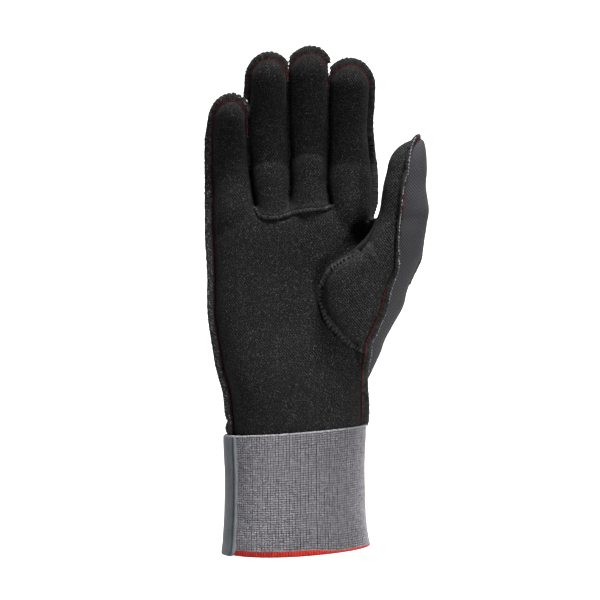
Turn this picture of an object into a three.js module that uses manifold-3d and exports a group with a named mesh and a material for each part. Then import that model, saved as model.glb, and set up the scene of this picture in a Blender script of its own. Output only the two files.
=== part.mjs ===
// A glove liner for a right hand in its worn form, palm towards -Y and fingers up.
// Stretch fabric panels meet in overlocked edges that stand outside, and a knit cuff is set into the wrist.
// Millimetres, +Z up. The origin is the centre of the cuff's opening, where the hand goes in.
import * as THREE from "three";
import { mergeVertices } from "three/addons/utils/BufferGeometryUtils.js";
import Module from "manifold-3d";

const wasm = await Module();
wasm.setup();

// Cuff
const CUFF_HEIGHT = 68.5;
const CUFF_WIDTH = 77.6;
const CUFF_DEPTH = 46.5;
const CUFF_WALL = 1.5;
const CUFF_TUCK = 6;
const CUFF_SHOULDER = 0.4;
const EDGE_SLOPE = 0.075;
const HEM_SLOPE = 0.05;
const HEM_BOW = 1.3;
const HEM_HEIGHT = 4.6;
const HEM_INSIDE = 10;
const HEM_WALL = 0.9;
const TAB_WIDTH = 38;
const TAB_WALL = 1.2;
const TAB_CORNER = 4;

// Hand
const WRIST_WIDTH = 71;
const WRIST_DEPTH = 42.5;
const PALM_LENGTH = 123.6;
const PALM_DEPTH = 34;
const PALM_START = 8;
const PALM_OVERLAP = 6;
const PALM_ROUND = 26;
const KNUCKLE_WIDTH = 88.8;
const KNUCKLE_SHIFT = -1.4;
const LITTLE_LENGTH = 61.5;
const RING_LENGTH = 84.4;
const MIDDLE_LENGTH = 87.6;
const INDEX_LENGTH = 80.9;
const LITTLE_DEPTH = 18.5;
const FINGER_DEPTH = 21;
const FINGER_BEND = 8;
const FINGER_GAP = 0.4;
const FINGER_ROOT = 30;
const THUMB_HEIGHT = 142.9;
const THUMB_SPREAD = 69.5;
const THUMB_WIDTH = 24;
const THUMB_DEPTH = 23;
const THUMB_FORWARD = 30.5;
const PUFF_REACH = 6;
const PUFF_HEIGHT = 9.5;

// Cloth and seams
const FABRIC = 1.6;
const SEAM_WIDTH = 3.6;
const SIDE_SEAM_WIDTH = 4.4;
const SEAM_THICKNESS = 2.2;
const RIDGE_WIDTH = 2.8;
const RIDGE_HEIGHT = 1.5;
const CLEARANCE = 0.3;
const GUSSET_OPEN = 9;
const REAR_END = 4;
const CUT_SPARE = 10;

// Mesh fineness
const PALM_SIDES = 32;
const FINGER_SIDES = 14;
const CUFF_SIDES = 28;
const FAR = 400;

// Heights and places that follow
const wristHeight = CUFF_HEIGHT;
const crotchHeight = wristHeight + PALM_LENGTH;
const thumbStart = crotchHeight - 0.84 * PALM_LENGTH;
const knuckleLeft = KNUCKLE_SHIFT - KNUCKLE_WIDTH / 2;
const slopeAt = (x) => EDGE_SLOPE * x;

// Palm sections from the wrist (0) to the crotch (1). The half sizes pass from the wrist's to the
// knuckles' as blend goes from 0 to 1, and left, right, front, back and hollow are shares of them.
const palmRows = [
  { at: 0.0, blend: 0.0, left: -0.92, right: 1.08, front: -1.0, back: 1.0, hollow: 0.0 },
  { at: 0.15, blend: 0.0, left: -0.96, right: 1.087, front: -1.02, back: 1.0, hollow: 0.02 },
  { at: 0.31, blend: 0.3, left: -1.02, right: 1.06, front: -1.06, back: 1.0, hollow: 0.1 },
  { at: 0.51, blend: 0.7, left: -1.022, right: 1.038, front: -1.04, back: 0.94, hollow: 0.22 },
  { at: 0.7, blend: 0.95, left: -0.983, right: 1.037, front: -0.94, back: 0.88, hollow: 0.2 },
  { at: 0.86, blend: 1.0, left: -0.991, right: 1.027, front: -0.8, back: 0.78, hollow: 0.08 },
  { at: 1.0, blend: 1.0, left: -1.0, right: 1.0, front: -0.72, back: 0.71, hollow: 0.0 },
];

// Lines beside and between the fingers from the crotch (0) to the middle fingertip (1),
// as shares of the knuckle width from its left end
const laneRows = [
  { at: -0.2, little: 0.0, ring: 0.273, middle: 0.475, index: 0.732, end: 1.0 },
  { at: 0.0, little: 0.0, ring: 0.266, middle: 0.476, index: 0.734, end: 1.0 },
  { at: 0.18, little: -0.002, ring: 0.243, middle: 0.485, index: 0.716, end: 1.0 },
  { at: 0.37, little: -0.002, ring: 0.224, middle: 0.483, index: 0.724, end: 0.98 },
  { at: 0.54, little: 0.007, ring: 0.215, middle: 0.476, index: 0.729, end: 0.968 },
  { at: 0.7, little: 0.015, ring: 0.228, middle: 0.473, index: 0.729, end: 0.977 },
  { at: 0.82, little: 0.02, ring: 0.237, middle: 0.472, index: 0.729, end: 0.98 },
];

// Each finger stands between its own line and the next finger's. round is the height of its rounded
// tip as a share of its length, and drift moves the tip's top sideways, a share of the knuckle width.
const fingerTable = [
  { name: "little", next: "ring", length: LITTLE_LENGTH, depth: LITTLE_DEPTH, round: 0.236, drift: 0.017 },
  { name: "ring", next: "middle", length: RING_LENGTH, depth: FINGER_DEPTH, round: 0.172, drift: 0.006 },
  { name: "middle", next: "index", length: MIDDLE_LENGTH, depth: FINGER_DEPTH, round: 0.183, drift: 0.021 },
  { name: "index", next: "end", length: INDEX_LENGTH, depth: FINGER_DEPTH, round: 0.173, drift: 0.003 },
];

// Side shape of a finger from the crotch (0) to its tip (1): bend is a share of the finger bend,
// deep is a half size as a share of the finger's depth
const fingerRows = [
  { at: -0.34, bend: 0.0, deep: 0.34 },
  { at: -0.12, bend: 0.02, deep: 0.5 },
  { at: 0.0, bend: 0.06, deep: 0.53 },
  { at: 0.27, bend: 0.3, deep: 0.51 },
  { at: 0.5, bend: 0.1, deep: 0.49 },
  { at: 0.75, bend: -0.4, deep: 0.48 },
  { at: 1.0, bend: -1.0, deep: 0.45 },
];

// Thumb sections from its root in the wrist (0) to where the tip starts to round (1). out is the
// middle's place as a share of the spread, wide and deep are half sizes as shares of the thumb's
// width and depth, and fore is a share of the forward reach. seam is where the seam crosses the
// front, from the inner side (0) to the outer side (1), and lean tips the seam's edge outwards.
const thumbRows = [
  { at: 0.0, out: 0.46, wide: 0.19, fore: -0.02, deep: 0.24, seam: 1.2, lean: 0.98 },
  { at: 0.06, out: 0.497, wide: 0.23, fore: -0.07, deep: 0.32, seam: 0.76, lean: 0.95 },
  { at: 0.13, out: 0.54, wide: 0.27, fore: -0.13, deep: 0.42, seam: 0.54, lean: 0.88 },
  { at: 0.217, out: 0.585, wide: 0.33, fore: -0.18, deep: 0.53, seam: 0.46, lean: 0.75 },
  { at: 0.297, out: 0.547, wide: 0.63, fore: -0.25, deep: 0.64, seam: 0.69, lean: 0.6 },
  { at: 0.437, out: 0.54, wide: 0.99, fore: -0.4, deep: 0.76, seam: 0.776, lean: 0.35 },
  { at: 0.56, out: 0.604, wide: 1.03, fore: -0.54, deep: 0.76, seam: 0.79, lean: 0.0 },
  { at: 0.643, out: 0.727, wide: 0.83, fore: -0.65, deep: 0.73, seam: 0.695, lean: -0.2 },
  { at: 0.697, out: 0.794, wide: 0.69, fore: -0.73, deep: 0.69, seam: 0.61, lean: -0.3 },
  { at: 0.763, out: 0.845, wide: 0.6, fore: -0.83, deep: 0.62, seam: 0.54, lean: -0.4 },
  { at: 0.842, out: 0.878, wide: 0.55, fore: -0.92, deep: 0.56, seam: 0.48, lean: -0.5 },
  { at: 0.921, out: 0.875, wide: 0.495, fore: -0.98, deep: 0.5, seam: 0.48, lean: -0.6 },
  { at: 1.0, out: 0.89, wide: 0.45, fore: -1.0, deep: 0.46, seam: 0.46, lean: -0.6 },
];

// Where the thumb's back panel ends behind, from the crotch down (0) to up (1), share of forward reach
const thumbRearRows = [
  { at: 0.0, y: 0.1 },
  { at: 0.3, y: -0.1 },
  { at: 0.6, y: -0.45 },
  { at: 0.72, y: -0.5 },
  { at: 0.84, y: -0.35 },
  { at: 0.95, y: 0.4 },
  { at: 1.0, y: 3.0 },
];

// Seam between the palm side and the back, from the wrist (0) to the middle fingertip (1):
// its place in depth as a share of the finger bend
const sideSeamRows = [
  { at: 0.0, y: -0.4 },
  { at: 0.25, y: -0.3 },
  { at: 0.5, y: 0.0 },
  { at: 0.62, y: 0.08 },
  { at: 0.7, y: 0.28 },
  { at: 0.8, y: 0.05 },
  { at: 0.9, y: -0.45 },
  { at: 1.0, y: -1.1 },
];

// Seam under the ring and middle fingers, from the ring finger's outer side (0) to the index (1):
// its rise from the crotch as a share of the palm length
const baseSeamRows = [
  { at: 0.0, rise: 0.008 },
  { at: 0.06, rise: -0.026 },
  { at: 0.2, rise: -0.036 },
  { at: 0.38, rise: -0.03 },
  { at: 0.5, rise: -0.014 },
  { at: 0.75, rise: 0.0 },
  { at: 0.92, rise: 0.004 },
  { at: 1.0, rise: 0.014 },
];

// Cuff outline from the hem (0) to the wrist (1): how far it stands out as a share of the cuff width
const cuffRows = [
  { at: 0.0, out: 0.018 },
  { at: 0.13, out: 0.012 },
  { at: 0.35, out: 0.001 },
  { at: 0.65, out: -0.004 },
  { at: 0.85, out: 0.003 },
  { at: 0.95, out: 0.006 },
];

// Smooth value of one column of a table, without overshoot
function column(rows, key, at) {
  const last = rows.length - 1;
  if (at <= rows[0].at) return rows[0][key];
  if (at >= rows[last].at) return rows[last][key];
  const i = rows.findIndex((row) => row.at > at) - 1;
  const slope = (k) => (rows[k + 1][key] - rows[k][key]) / (rows[k + 1].at - rows[k].at);
  const tangent = (k) => {
    if (k === 0 || k === last) return slope(Math.min(k, last - 1));
    const before = slope(k - 1);
    const after = slope(k);
    return before * after <= 0 ? 0 : (2 * before * after) / (before + after);
  };
  const span = rows[i + 1].at - rows[i].at;
  const t = (at - rows[i].at) / span;
  const rise = t * t * (3 - 2 * t);
  const bulge = t * (1 - t) ** 2 * tangent(i) - t * t * (1 - t) * tangent(i + 1);
  return rows[i][key] * (1 - rise) + rows[i + 1][key] * rise + span * bulge;
}

const mix = (a, b, t) => a + (b - a) * t;

function range(start, end, steps) {
  return Array.from({ length: steps + 1 }, (_, i) => mix(start, end, i / steps));
}

// Forms of the hand: stacks of level sections, each closed by a rounded tip
const palm = {
  bottom: wristHeight - CUFF_TUCK - PALM_START,
  top: crotchHeight + PALM_OVERLAP,
  round: PALM_ROUND,
  drift: 0,
  power: 2.5,
  shape(z) {
    const at = (z - wristHeight) / PALM_LENGTH;
    const blend = column(palmRows, "blend", at);
    const halfWidth = mix(WRIST_WIDTH, KNUCKLE_WIDTH, blend) / 2;
    const halfDepth = mix(WRIST_DEPTH, PALM_DEPTH, blend) / 2;
    return {
      left: KNUCKLE_SHIFT + column(palmRows, "left", at) * halfWidth,
      right: KNUCKLE_SHIFT + column(palmRows, "right", at) * halfWidth,
      front: column(palmRows, "front", at) * halfDepth,
      back: column(palmRows, "back", at) * halfDepth,
      hollow: column(palmRows, "hollow", at) * halfDepth,
    };
  },
};

function laneX(line, z) {
  return knuckleLeft + column(laneRows, line, (z - crotchHeight) / MIDDLE_LENGTH) * KNUCKLE_WIDTH;
}

function fingerForm({ name, next, length, depth, round, drift }) {
  const leftGap = name === "little" ? 0 : FINGER_GAP / 2;
  const rightGap = next === "end" ? 0 : FINGER_GAP / 2;
  return {
    name,
    next,
    bottom: crotchHeight - FINGER_ROOT,
    top: crotchHeight + length,
    round: round * length,
    drift: drift * KNUCKLE_WIDTH,
    power: 2.2,
    shape(z) {
      const at = (z - crotchHeight) / length;
      const middle = column(fingerRows, "bend", at) * FINGER_BEND;
      const halfDepth = column(fingerRows, "deep", at) * depth;
      return {
        left: laneX(name, z) + leftGap,
        right: laneX(next, z) - rightGap,
        front: middle - halfDepth,
        back: middle + halfDepth,
      };
    },
  };
}

const fingers = fingerTable.map(fingerForm);
const [little, ring, middle, index] = fingers;

const thumb = {
  bottom: thumbStart,
  top: thumbStart + THUMB_HEIGHT,
  round: 0.12 * THUMB_HEIGHT,
  drift: THUMB_WIDTH / 3,
  power: 2.15,
  at(z) {
    return (z - thumb.bottom) / (THUMB_HEIGHT - thumb.round);
  },
  shape(z) {
    const at = thumb.at(z);
    const x = column(thumbRows, "out", at) * THUMB_SPREAD;
    const y = column(thumbRows, "fore", at) * THUMB_FORWARD;
    const halfWidth = column(thumbRows, "wide", at) * THUMB_WIDTH;
    const halfDepth = column(thumbRows, "deep", at) * THUMB_DEPTH;
    return { left: x - halfWidth, right: x + halfWidth, front: y - halfDepth, back: y + halfDepth };
  },
};

function sectionAt(form, z, grow = 0) {
  const shoulder = form.top - form.round;
  const t = Math.max(0, (z - shoulder) / (form.round + grow));
  const shrink = Math.sqrt(Math.max(0, 1 - t * t));
  const s = form.shape(Math.min(z, shoulder));
  return {
    x: (s.left + s.right) / 2 + form.drift * (1 - shrink),
    y: (s.front + s.back) / 2,
    halfWidth: ((s.right - s.left) / 2 + grow) * shrink,
    halfDepth: ((s.back - s.front) / 2 + grow) * shrink,
    hollow: (s.hollow ?? 0) * shrink,
    power: form.power,
  };
}

// How far a section reaches in depth where it is cut at a share of its half width
function depthShare(section, across) {
  return (1 - Math.min(1, Math.abs(across)) ** section.power) ** (1 / section.power);
}

function ringAt(form, z, grow, sides) {
  const s = sectionAt(form, z, grow);
  return Array.from({ length: sides }, (_, i) => {
    const angle = (2 * Math.PI * (i + 0.5)) / sides;
    const c = Math.cos(angle);
    const across = Math.sign(c) * Math.abs(c) ** (2 / s.power);
    const side = Math.sign(Math.sin(angle));
    const dip = side < 0 ? s.hollow * (1 - across * across) ** 2 : 0;
    return new THREE.Vector3(
      s.x + s.halfWidth * across,
      s.y + side * s.halfDepth * depthShare(s, across) + dip,
      z,
    );
  });
}

// y of a form's front (side -1) or back (side 1) at x, or nothing beside the form
function surfaceY(form, x, z, side) {
  const s = sectionAt(form, z);
  const across = (x - s.x) / s.halfWidth;
  if (z < form.bottom || z >= form.top || Math.abs(across) > 1) return undefined;
  const dip = side < 0 ? s.hollow * (1 - across * across) ** 2 : 0;
  return s.y + side * s.halfDepth * depthShare(s, across) + dip;
}

function frontY(x, z) {
  const found = [palm, thumb, ...fingers].map((form) => surfaceY(form, x, z, -1));
  return Math.min(...found.filter((y) => y !== undefined));
}

function sideSeamY(z) {
  const at = (z - wristHeight) / (PALM_LENGTH + MIDDLE_LENGTH);
  return column(sideSeamRows, "y", at) * FINGER_BEND;
}

function thumbSeamX(z) {
  const s = sectionAt(thumb, z);
  return s.x + (2 * column(thumbRows, "seam", thumb.at(z)) - 1) * s.halfWidth;
}

function thumbRearY(z) {
  const at = (z - thumbStart) / (crotchHeight + REAR_END - thumbStart);
  return column(thumbRearRows, "y", at) * THUMB_FORWARD;
}

function baseSeamZ(x) {
  const start = laneX("ring", crotchHeight);
  const at = (x - start) / (laneX("index", crotchHeight) - start);
  return crotchHeight + column(baseSeamRows, "rise", at) * PALM_LENGTH;
}

// Closed geometry through rings of equal count, each end capped by a ladder of triangles
function loftGeometry(rings) {
  const n = rings[0].length;
  const positions = rings.flat().flatMap((p) => [p.x, p.y, p.z]);
  const faces = [];
  for (let r = 0; r + 1 < rings.length; r += 1) {
    for (let i = 0; i < n; i += 1) {
      const a = r * n + i;
      const b = r * n + ((i + 1) % n);
      faces.push(a, b, b + n, a, b + n, a + n);
    }
  }
  const last = (rings.length - 1) * n;
  for (let i = 0; i < n / 2 - 1; i += 1) {
    const j = n - 1 - i;
    faces.push(i, j, i + 1, i + 1, j, j - 1);
    faces.push(last + i, last + i + 1, last + j, last + i + 1, last + j - 1, last + j);
  }
  const geometry = new THREE.BufferGeometry();
  geometry.setAttribute("position", new THREE.Float32BufferAttribute(positions, 3));
  geometry.setIndex(faces);
  return geometry;
}

function toSolid(geometry) {
  geometry.deleteAttribute("normal");
  geometry.deleteAttribute("uv");
  const merged = mergeVertices(geometry, 1e-4);
  return new wasm.Manifold(new wasm.Mesh({
    numProp: 3,
    vertProperties: new Float32Array(merged.attributes.position.array),
    triVerts: new Uint32Array(merged.index.array),
  }));
}

function toGeometry(solid) {
  const mesh = solid.getMesh();
  const geometry = new THREE.BufferGeometry();
  geometry.setAttribute("position", new THREE.BufferAttribute(mesh.vertProperties, 3));
  geometry.setIndex(new THREE.BufferAttribute(mesh.triVerts, 1));
  geometry.computeVertexNormals();
  return geometry;
}

function union(solids) {
  return solids.reduce((whole, next) => whole.add(next));
}

function largestPiece(solid) {
  return solid.decompose().reduce((best, next) => (next.volume() > best.volume() ? next : best));
}

// Solid of a form, grown by a margin, or shrunk where the margin is negative
function formSolid(form, grow, sides, steps, tipSteps = 5) {
  const shoulder = form.top - form.round;
  const body = range(form.bottom - Math.max(0, grow), shoulder, steps).slice(0, -1);
  const tip = range(0, 1, tipSteps).slice(0, -1)
    .map((t) => shoulder + (form.round + grow) * Math.sin((Math.PI / 2) * t * 1.06));
  return toSolid(loftGeometry([...body, ...tip].map((z) => ringAt(form, z, grow, sides))));
}

function handSolid(grow, sides, fingerSides, fineness) {
  const steps = (count) => Math.round(count * fineness);
  return union([
    formSolid(palm, grow, sides, steps(8), 4),
    ...fingers.map((form) => formSolid(form, grow, fingerSides, steps(6), 4)),
    formSolid(thumb, grow, fingerSides + 4, steps(12), 4),
  ]);
}

// Prisms that cut the hand into panels: outlines of [x, z] run along Y, outlines of [y, z] along X
function prism(outline, basis, low, high) {
  const shape = new THREE.Shape(outline.map(([a, b]) => new THREE.Vector2(a, b)));
  const geometry = new THREE.ExtrudeGeometry(shape, { depth: high - low, bevelEnabled: false });
  geometry.translate(0, 0, low);
  geometry.applyMatrix4(new THREE.Matrix4().makeBasis(...basis));
  return toSolid(geometry);
}

const axisX = new THREE.Vector3(1, 0, 0);
const axisY = new THREE.Vector3(0, 1, 0);
const axisZ = new THREE.Vector3(0, 0, 1);
const alongY = (outline) => prism(outline, [axisX, axisZ, axisY.clone().negate()], -FAR, FAR);
const alongX = (outline) => prism(outline, [axisY, axisZ, axisX], -FAR, FAR);

function cutAlongX(curve, heights, gap, side) {
  const edge = heights.map((z) => [curve(z) + (side * gap) / 2, z]);
  return alongX([[edge[0][0], -FAR], ...edge, [edge.at(-1)[0], FAR], [side * FAR, FAR], [side * FAR, -FAR]]);
}

function cutAlongY(curve, heights, gap, side) {
  const edge = heights.map((z) => [curve(z) + (side * gap) / 2, z]);
  const [low, high] = [heights[0], heights.at(-1)];
  return alongY([...edge, [side * FAR, high], [side * FAR, low]]);
}

const aboveWrist = alongY([
  [-FAR, wristHeight + slopeAt(-FAR)],
  [FAR, wristHeight + slopeAt(FAR)],
  [FAR, 2 * FAR],
  [-FAR, 2 * FAR],
]);
const outside = handSolid(0, PALM_SIDES, FINGER_SIDES, 1);
const cleared = handSolid(CLEARANCE, PALM_SIDES, FINGER_SIDES, 1);
const inside = handSolid(-FABRIC, 22, 10, 0.55);
const shell = outside.subtract(inside).intersect(aboveWrist);

const bodyHeights = range(wristHeight - CUT_SPARE, crotchHeight + MIDDLE_LENGTH, 11);
const front = shell.intersect(cutAlongX(sideSeamY, bodyHeights, CLEARANCE, -1));
const back = shell.intersect(cutAlongX(sideSeamY, bodyHeights, CLEARANCE, 1));

// Thumb zone: the root's outline on the palm, then the thumb with room beside the index finger
const gussetBottom = mix(thumbStart, thumb.top, 0.17);
const zoneHeights = range(gussetBottom, thumb.top + CUT_SPARE, 16);
const backZoneHeights = range(thumbStart, thumb.top + CUT_SPARE, 18);
const rearHeights = range(thumbStart, crotchHeight + REAR_END, 9);
const zoneEdge = (z) => {
  const s = sectionAt(thumb, Math.min(z, thumb.top - thumb.round));
  const open = Math.min(1, (z - gussetBottom) / GUSSET_OPEN);
  const edge = s.x - s.halfWidth - (z > crotchHeight ? 2 * FINGER_GAP : 0);
  return mix(thumbSeamX(Math.min(z, crotchHeight)) + 2 * CLEARANCE, edge, Math.sqrt(Math.max(0, open)));
};
const seamX = (z) => thumbSeamX(Math.min(z, thumb.top - CLEARANCE));
const beforeRear = (gap) => cutAlongX(thumbRearY, rearHeights, gap, -1);

const rightOfZone = (gap) => cutAlongY(zoneEdge, zoneHeights, gap, 1);
const rightOfSeam = (gap) => cutAlongY(seamX, backZoneHeights, gap, 1);
const leftOfSeam = cutAlongY(seamX, backZoneHeights, CLEARANCE, -1);
const thumbZone = rightOfZone(-CLEARANCE).add(rightOfSeam(-CLEARANCE)).intersect(beforeRear(-CLEARANCE));
const thumbFront = shell.intersect(rightOfZone(CLEARANCE)).intersect(leftOfSeam).intersect(beforeRear(CLEARANCE));
const thumbBack = shell.intersect(rightOfSeam(CLEARANCE)).intersect(beforeRear(CLEARANCE));

// Palm side: one panel with the little and index fingers, and an insert for the other two
function insertZone(gap) {
  const left = laneX("ring", crotchHeight);
  const right = laneX("index", crotchHeight);
  const base = range(left, right, 8).map((x) => [x, baseSeamZ(x) + gap / 2]);
  const heights = range(crotchHeight + REAR_END, crotchHeight + MIDDLE_LENGTH + SEAM_WIDTH, 12);
  const rightEdge = heights.map((z) => [laneX("index", z) - gap / 2, z]);
  const leftEdge = heights.map((z) => [laneX("ring", z) + gap / 2, z]).reverse();
  return alongY([...base, ...rightEdge, ...leftEdge]);
}

const palmSide = front.subtract(thumbZone);
const palmPanel = palmSide.subtract(insertZone(-CLEARANCE));
const insertPanel = palmSide.intersect(insertZone(CLEARANCE));

// The back's cloth is gathered into a small puff behind the outer side's seam, above the cuff
function puffSolid() {
  const s = sectionAt(palm, wristHeight);
  const geometry = new THREE.SphereGeometry(1, 12, 8);
  geometry.scale(PUFF_REACH, PUFF_REACH * 0.8, PUFF_HEIGHT / 2);
  geometry.translate(s.x - s.halfWidth, sideSeamY(wristHeight) + PUFF_REACH * 1.1, wristHeight);
  return toSolid(geometry).subtract(inside).intersect(aboveWrist);
}

const backPanel = back.subtract(thumbZone).add(puffSolid());

// A seam's edge: a flat bead swept along stations, standing out of the cloth by each station's width
function sweepSolid(stations, thickness, sink) {
  const rings = stations.map(({ point, out, width }, i) => {
    const before = stations[Math.max(0, i - 1)].point;
    const after = stations[Math.min(stations.length - 1, i + 1)].point;
    const along = after.clone().sub(before).normalize();
    const side = along.clone().cross(out).normalize();
    const outward = side.clone().cross(along).normalize();
    const half = thickness / 2;
    const corners = [
      [-sink, half], [-sink, -half], [width - half / 2, -half], [width, -half / 2],
      [width, half / 2], [width - half / 2, half],
    ];
    return corners.map(([u, v]) => point.clone().addScaledVector(outward, u).addScaledVector(side, v));
  });
  return toSolid(loftGeometry(rings));
}

// The outline of a form in the seam's surface, up its left side, over the tip and down its right side
function outlinePoints(form, leftStart, rightEnd, steps) {
  const shoulder = form.top - form.round;
  const point = (z, side) => {
    const s = sectionAt(form, z);
    return new THREE.Vector3(s.x + side * s.halfWidth, sideSeamY(z), z);
  };
  const tip = range(0, 1, 5).slice(1, -1).map((t) => shoulder + form.round * Math.sin((Math.PI / 2) * t));
  return [
    ...range(leftStart, shoulder, steps(shoulder - leftStart)).map((z) => point(z, -1)),
    ...tip.map((z) => point(z, -1)),
    point(form.top, 0),
    ...tip.reverse().map((z) => point(z, 1)),
    ...range(shoulder, rightEnd, steps(shoulder - rightEnd)).map((z) => point(z, 1)),
  ];
}

function outwardStations(points, widthAt) {
  return points.map((point, i) => {
    const before = points[Math.max(0, i - 1)];
    const after = points[Math.min(points.length - 1, i + 1)];
    const out = after.clone().sub(before).cross(axisY).normalize();
    return { point, out, width: widthAt(point.z) };
  });
}

// The room in which a finger's seam may stand: its own lane beside a neighbour, and free above one
function laneSolid(form, before, after) {
  const side = (line, neighbour, sign) => {
    if (!neighbour) return [[sign * FAR, 0], [sign * FAR, FAR]];
    const low = Math.min(neighbour.top, form.top);
    const open = low + SEAM_WIDTH + FINGER_GAP;
    const towards = neighbour.top < form.top ? sign : -sign;
    const edge = range(crotchHeight, open, 16).map((z) => {
      const lean = Math.max(0, (z - low + SEAM_WIDTH) / (open - low + SEAM_WIDTH));
      return [laneX(line, z) + towards * SEAM_WIDTH * lean - (sign * FINGER_GAP) / 2, z];
    });
    return [[edge[0][0], 0], ...edge, [sign * FAR, open], [sign * FAR, FAR]];
  };
  return alongY([...side(form.name, before, -1), ...side(form.next, after, 1).reverse()]);
}

const SEAM_STEP = 9;
const sideJoinLow = crotchHeight - 0.19 * PALM_LENGTH;
const sideJoinHigh = crotchHeight - 0.13 * PALM_LENGTH;
const thumbJoin = thumbStart + 0.11 * THUMB_HEIGHT;
const stepsOf = (length) => Math.max(2, Math.round(length / SEAM_STEP));
const sideWidth = (z) => mix(SIDE_SEAM_WIDTH, SEAM_WIDTH, Math.min(1, Math.max(0, (z - wristHeight) / PALM_LENGTH)));

function fingerSeam(form, before, after, lower) {
  const shoulder = form.top - form.round;
  const leftStart = before ? shoulder - form.round : sideJoinHigh;
  const rightEnd = after ? shoulder - form.round : crotchHeight - SEAM_WIDTH;
  const points = [...lower, ...outlinePoints(form, leftStart, rightEnd, stepsOf)];
  const bead = sweepSolid(outwardStations(points, sideWidth), SEAM_THICKNESS, FABRIC);
  return bead.subtract(cleared).intersect(laneSolid(form, before, after)).intersect(aboveWrist);
}

const wristEdge = (x) => wristHeight + slopeAt(x) + 2 * CLEARANCE;
const palmLeft = (z) => new THREE.Vector3(sectionAt(palm, z).x - sectionAt(palm, z).halfWidth, sideSeamY(z), z);
const palmRight = (z) => new THREE.Vector3(sectionAt(palm, z).x + sectionAt(palm, z).halfWidth, sideSeamY(z), z);
const sidePoints = range(wristEdge(knuckleLeft), sideJoinLow, 11).map(palmLeft);
const littleSeam = fingerSeam(little, null, ring, sidePoints);
const ringSeam = fingerSeam(ring, little, middle, []);
const middleSeam = fingerSeam(middle, ring, index, []);
const indexSeam = fingerSeam(index, middle, null, []);

// The thumb's seam rises from the wrist along its front, passes over the tip and ends behind the crotch
function thumbSeam() {
  const shoulder = thumb.top - thumb.round;
  const lowStations = range(wristEdge(-knuckleLeft), thumbStart + SEAM_WIDTH, 2).map((z) => ({
    point: palmRight(z),
    out: axisX,
    width: SIDE_SEAM_WIDTH,
  }));
  const frontStations = range(thumbJoin, shoulder, 15).map((z) => {
    const lean = column(thumbRows, "lean", thumb.at(z));
    const x = thumbSeamX(z);
    return {
      point: new THREE.Vector3(x, frontY(x, z), z),
      out: new THREE.Vector3(lean, -Math.sqrt(1 - lean * lean), 0),
      width: SEAM_WIDTH,
    };
  });
  const lean = thumbRows.at(-1).lean;
  const tipStations = range(0, Math.PI, 8).map((angle) => {
    const z = shoulder + (thumb.round - CLEARANCE) * Math.sin(angle);
    const s = sectionAt(thumb, z);
    const x = thumbSeamX(z);
    const fade = Math.abs(Math.cos(angle));
    const side = Math.sign(Math.cos(angle));
    const y = s.y - side * s.halfDepth * depthShare(s, (x - s.x) / s.halfWidth);
    return {
      point: new THREE.Vector3(x, y, z),
      out: new THREE.Vector3(lean * fade, -Math.cos(angle), Math.sin(angle)).normalize(),
      width: SEAM_WIDTH,
    };
  }).slice(1, -1);
  const backStations = range(shoulder, crotchHeight + PALM_OVERLAP, 4).map((z) => {
    const x = thumbSeamX(z);
    return {
      point: new THREE.Vector3(x, surfaceY(thumb, x, z, 1), z),
      out: new THREE.Vector3(lean, Math.sqrt(1 - lean * lean), 0),
      width: SEAM_WIDTH,
    };
  });
  const stations = [...lowStations, ...frontStations, ...tipStations, ...backStations];
  return sweepSolid(stations, SEAM_THICKNESS, FABRIC).subtract(cleared).intersect(aboveWrist);
}

// Raised seams that lie on the palm: round the thumb's root and under the two middle fingers
function ridgeSolid(points) {
  const stations = points.map(([x, z]) => ({
    point: new THREE.Vector3(x, frontY(x, z), z),
    out: axisY.clone().negate(),
    width: RIDGE_HEIGHT,
  }));
  return sweepSolid(stations, RIDGE_WIDTH, 2 * FABRIC).subtract(cleared);
}

const rootTop = mix(thumbStart, thumb.top, 0.6);
const rootPoints = range(gussetBottom + 2, rootTop, 13).map((z) => [zoneEdge(z) + RIDGE_WIDTH / 4, z]);
const basePoints = range(laneX("ring", crotchHeight) - 1, laneX("index", crotchHeight) + 2, 10)
  .map((x) => [x, baseSeamZ(x)]);

// Cuff sections: ovals that follow the slope of the hem below and of the wrist's edge above
function cuffRing(out, z) {
  return Array.from({ length: CUFF_SIDES }, (_, i) => {
    const angle = (2 * Math.PI * (i + 0.5)) / CUFF_SIDES;
    return cuffPoint(angle, out, z);
  });
}

function cuffPoint(angle, out, z) {
  const x = (CUFF_WIDTH / 2 + out) * Math.cos(angle);
  const y = (CUFF_DEPTH / 2 + out) * Math.sin(angle);
  const up = Math.min(1, Math.max(0, z / cuffTop));
  const hemRise = HEM_SLOPE * x + HEM_BOW * ((2 * x) / CUFF_WIDTH) ** 2;
  return new THREE.Vector3(x, y, z + mix(hemRise, slopeAt(x), up));
}

// A closed wall round the cuff's axis, from a closed profile of rings
function wallSolid(rings) {
  const n = CUFF_SIDES;
  const positions = rings.flat().flatMap((p) => [p.x, p.y, p.z]);
  const faces = [];
  rings.forEach((_, r) => {
    const next = (r + 1) % rings.length;
    for (let i = 0; i < n; i += 1) {
      const j = (i + 1) % n;
      faces.push(r * n + i, r * n + j, next * n + j, r * n + i, next * n + j, next * n + i);
    }
  });
  const geometry = new THREE.BufferGeometry();
  geometry.setAttribute("position", new THREE.Float32BufferAttribute(positions, 3));
  geometry.setIndex(faces);
  return toSolid(geometry);
}

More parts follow.
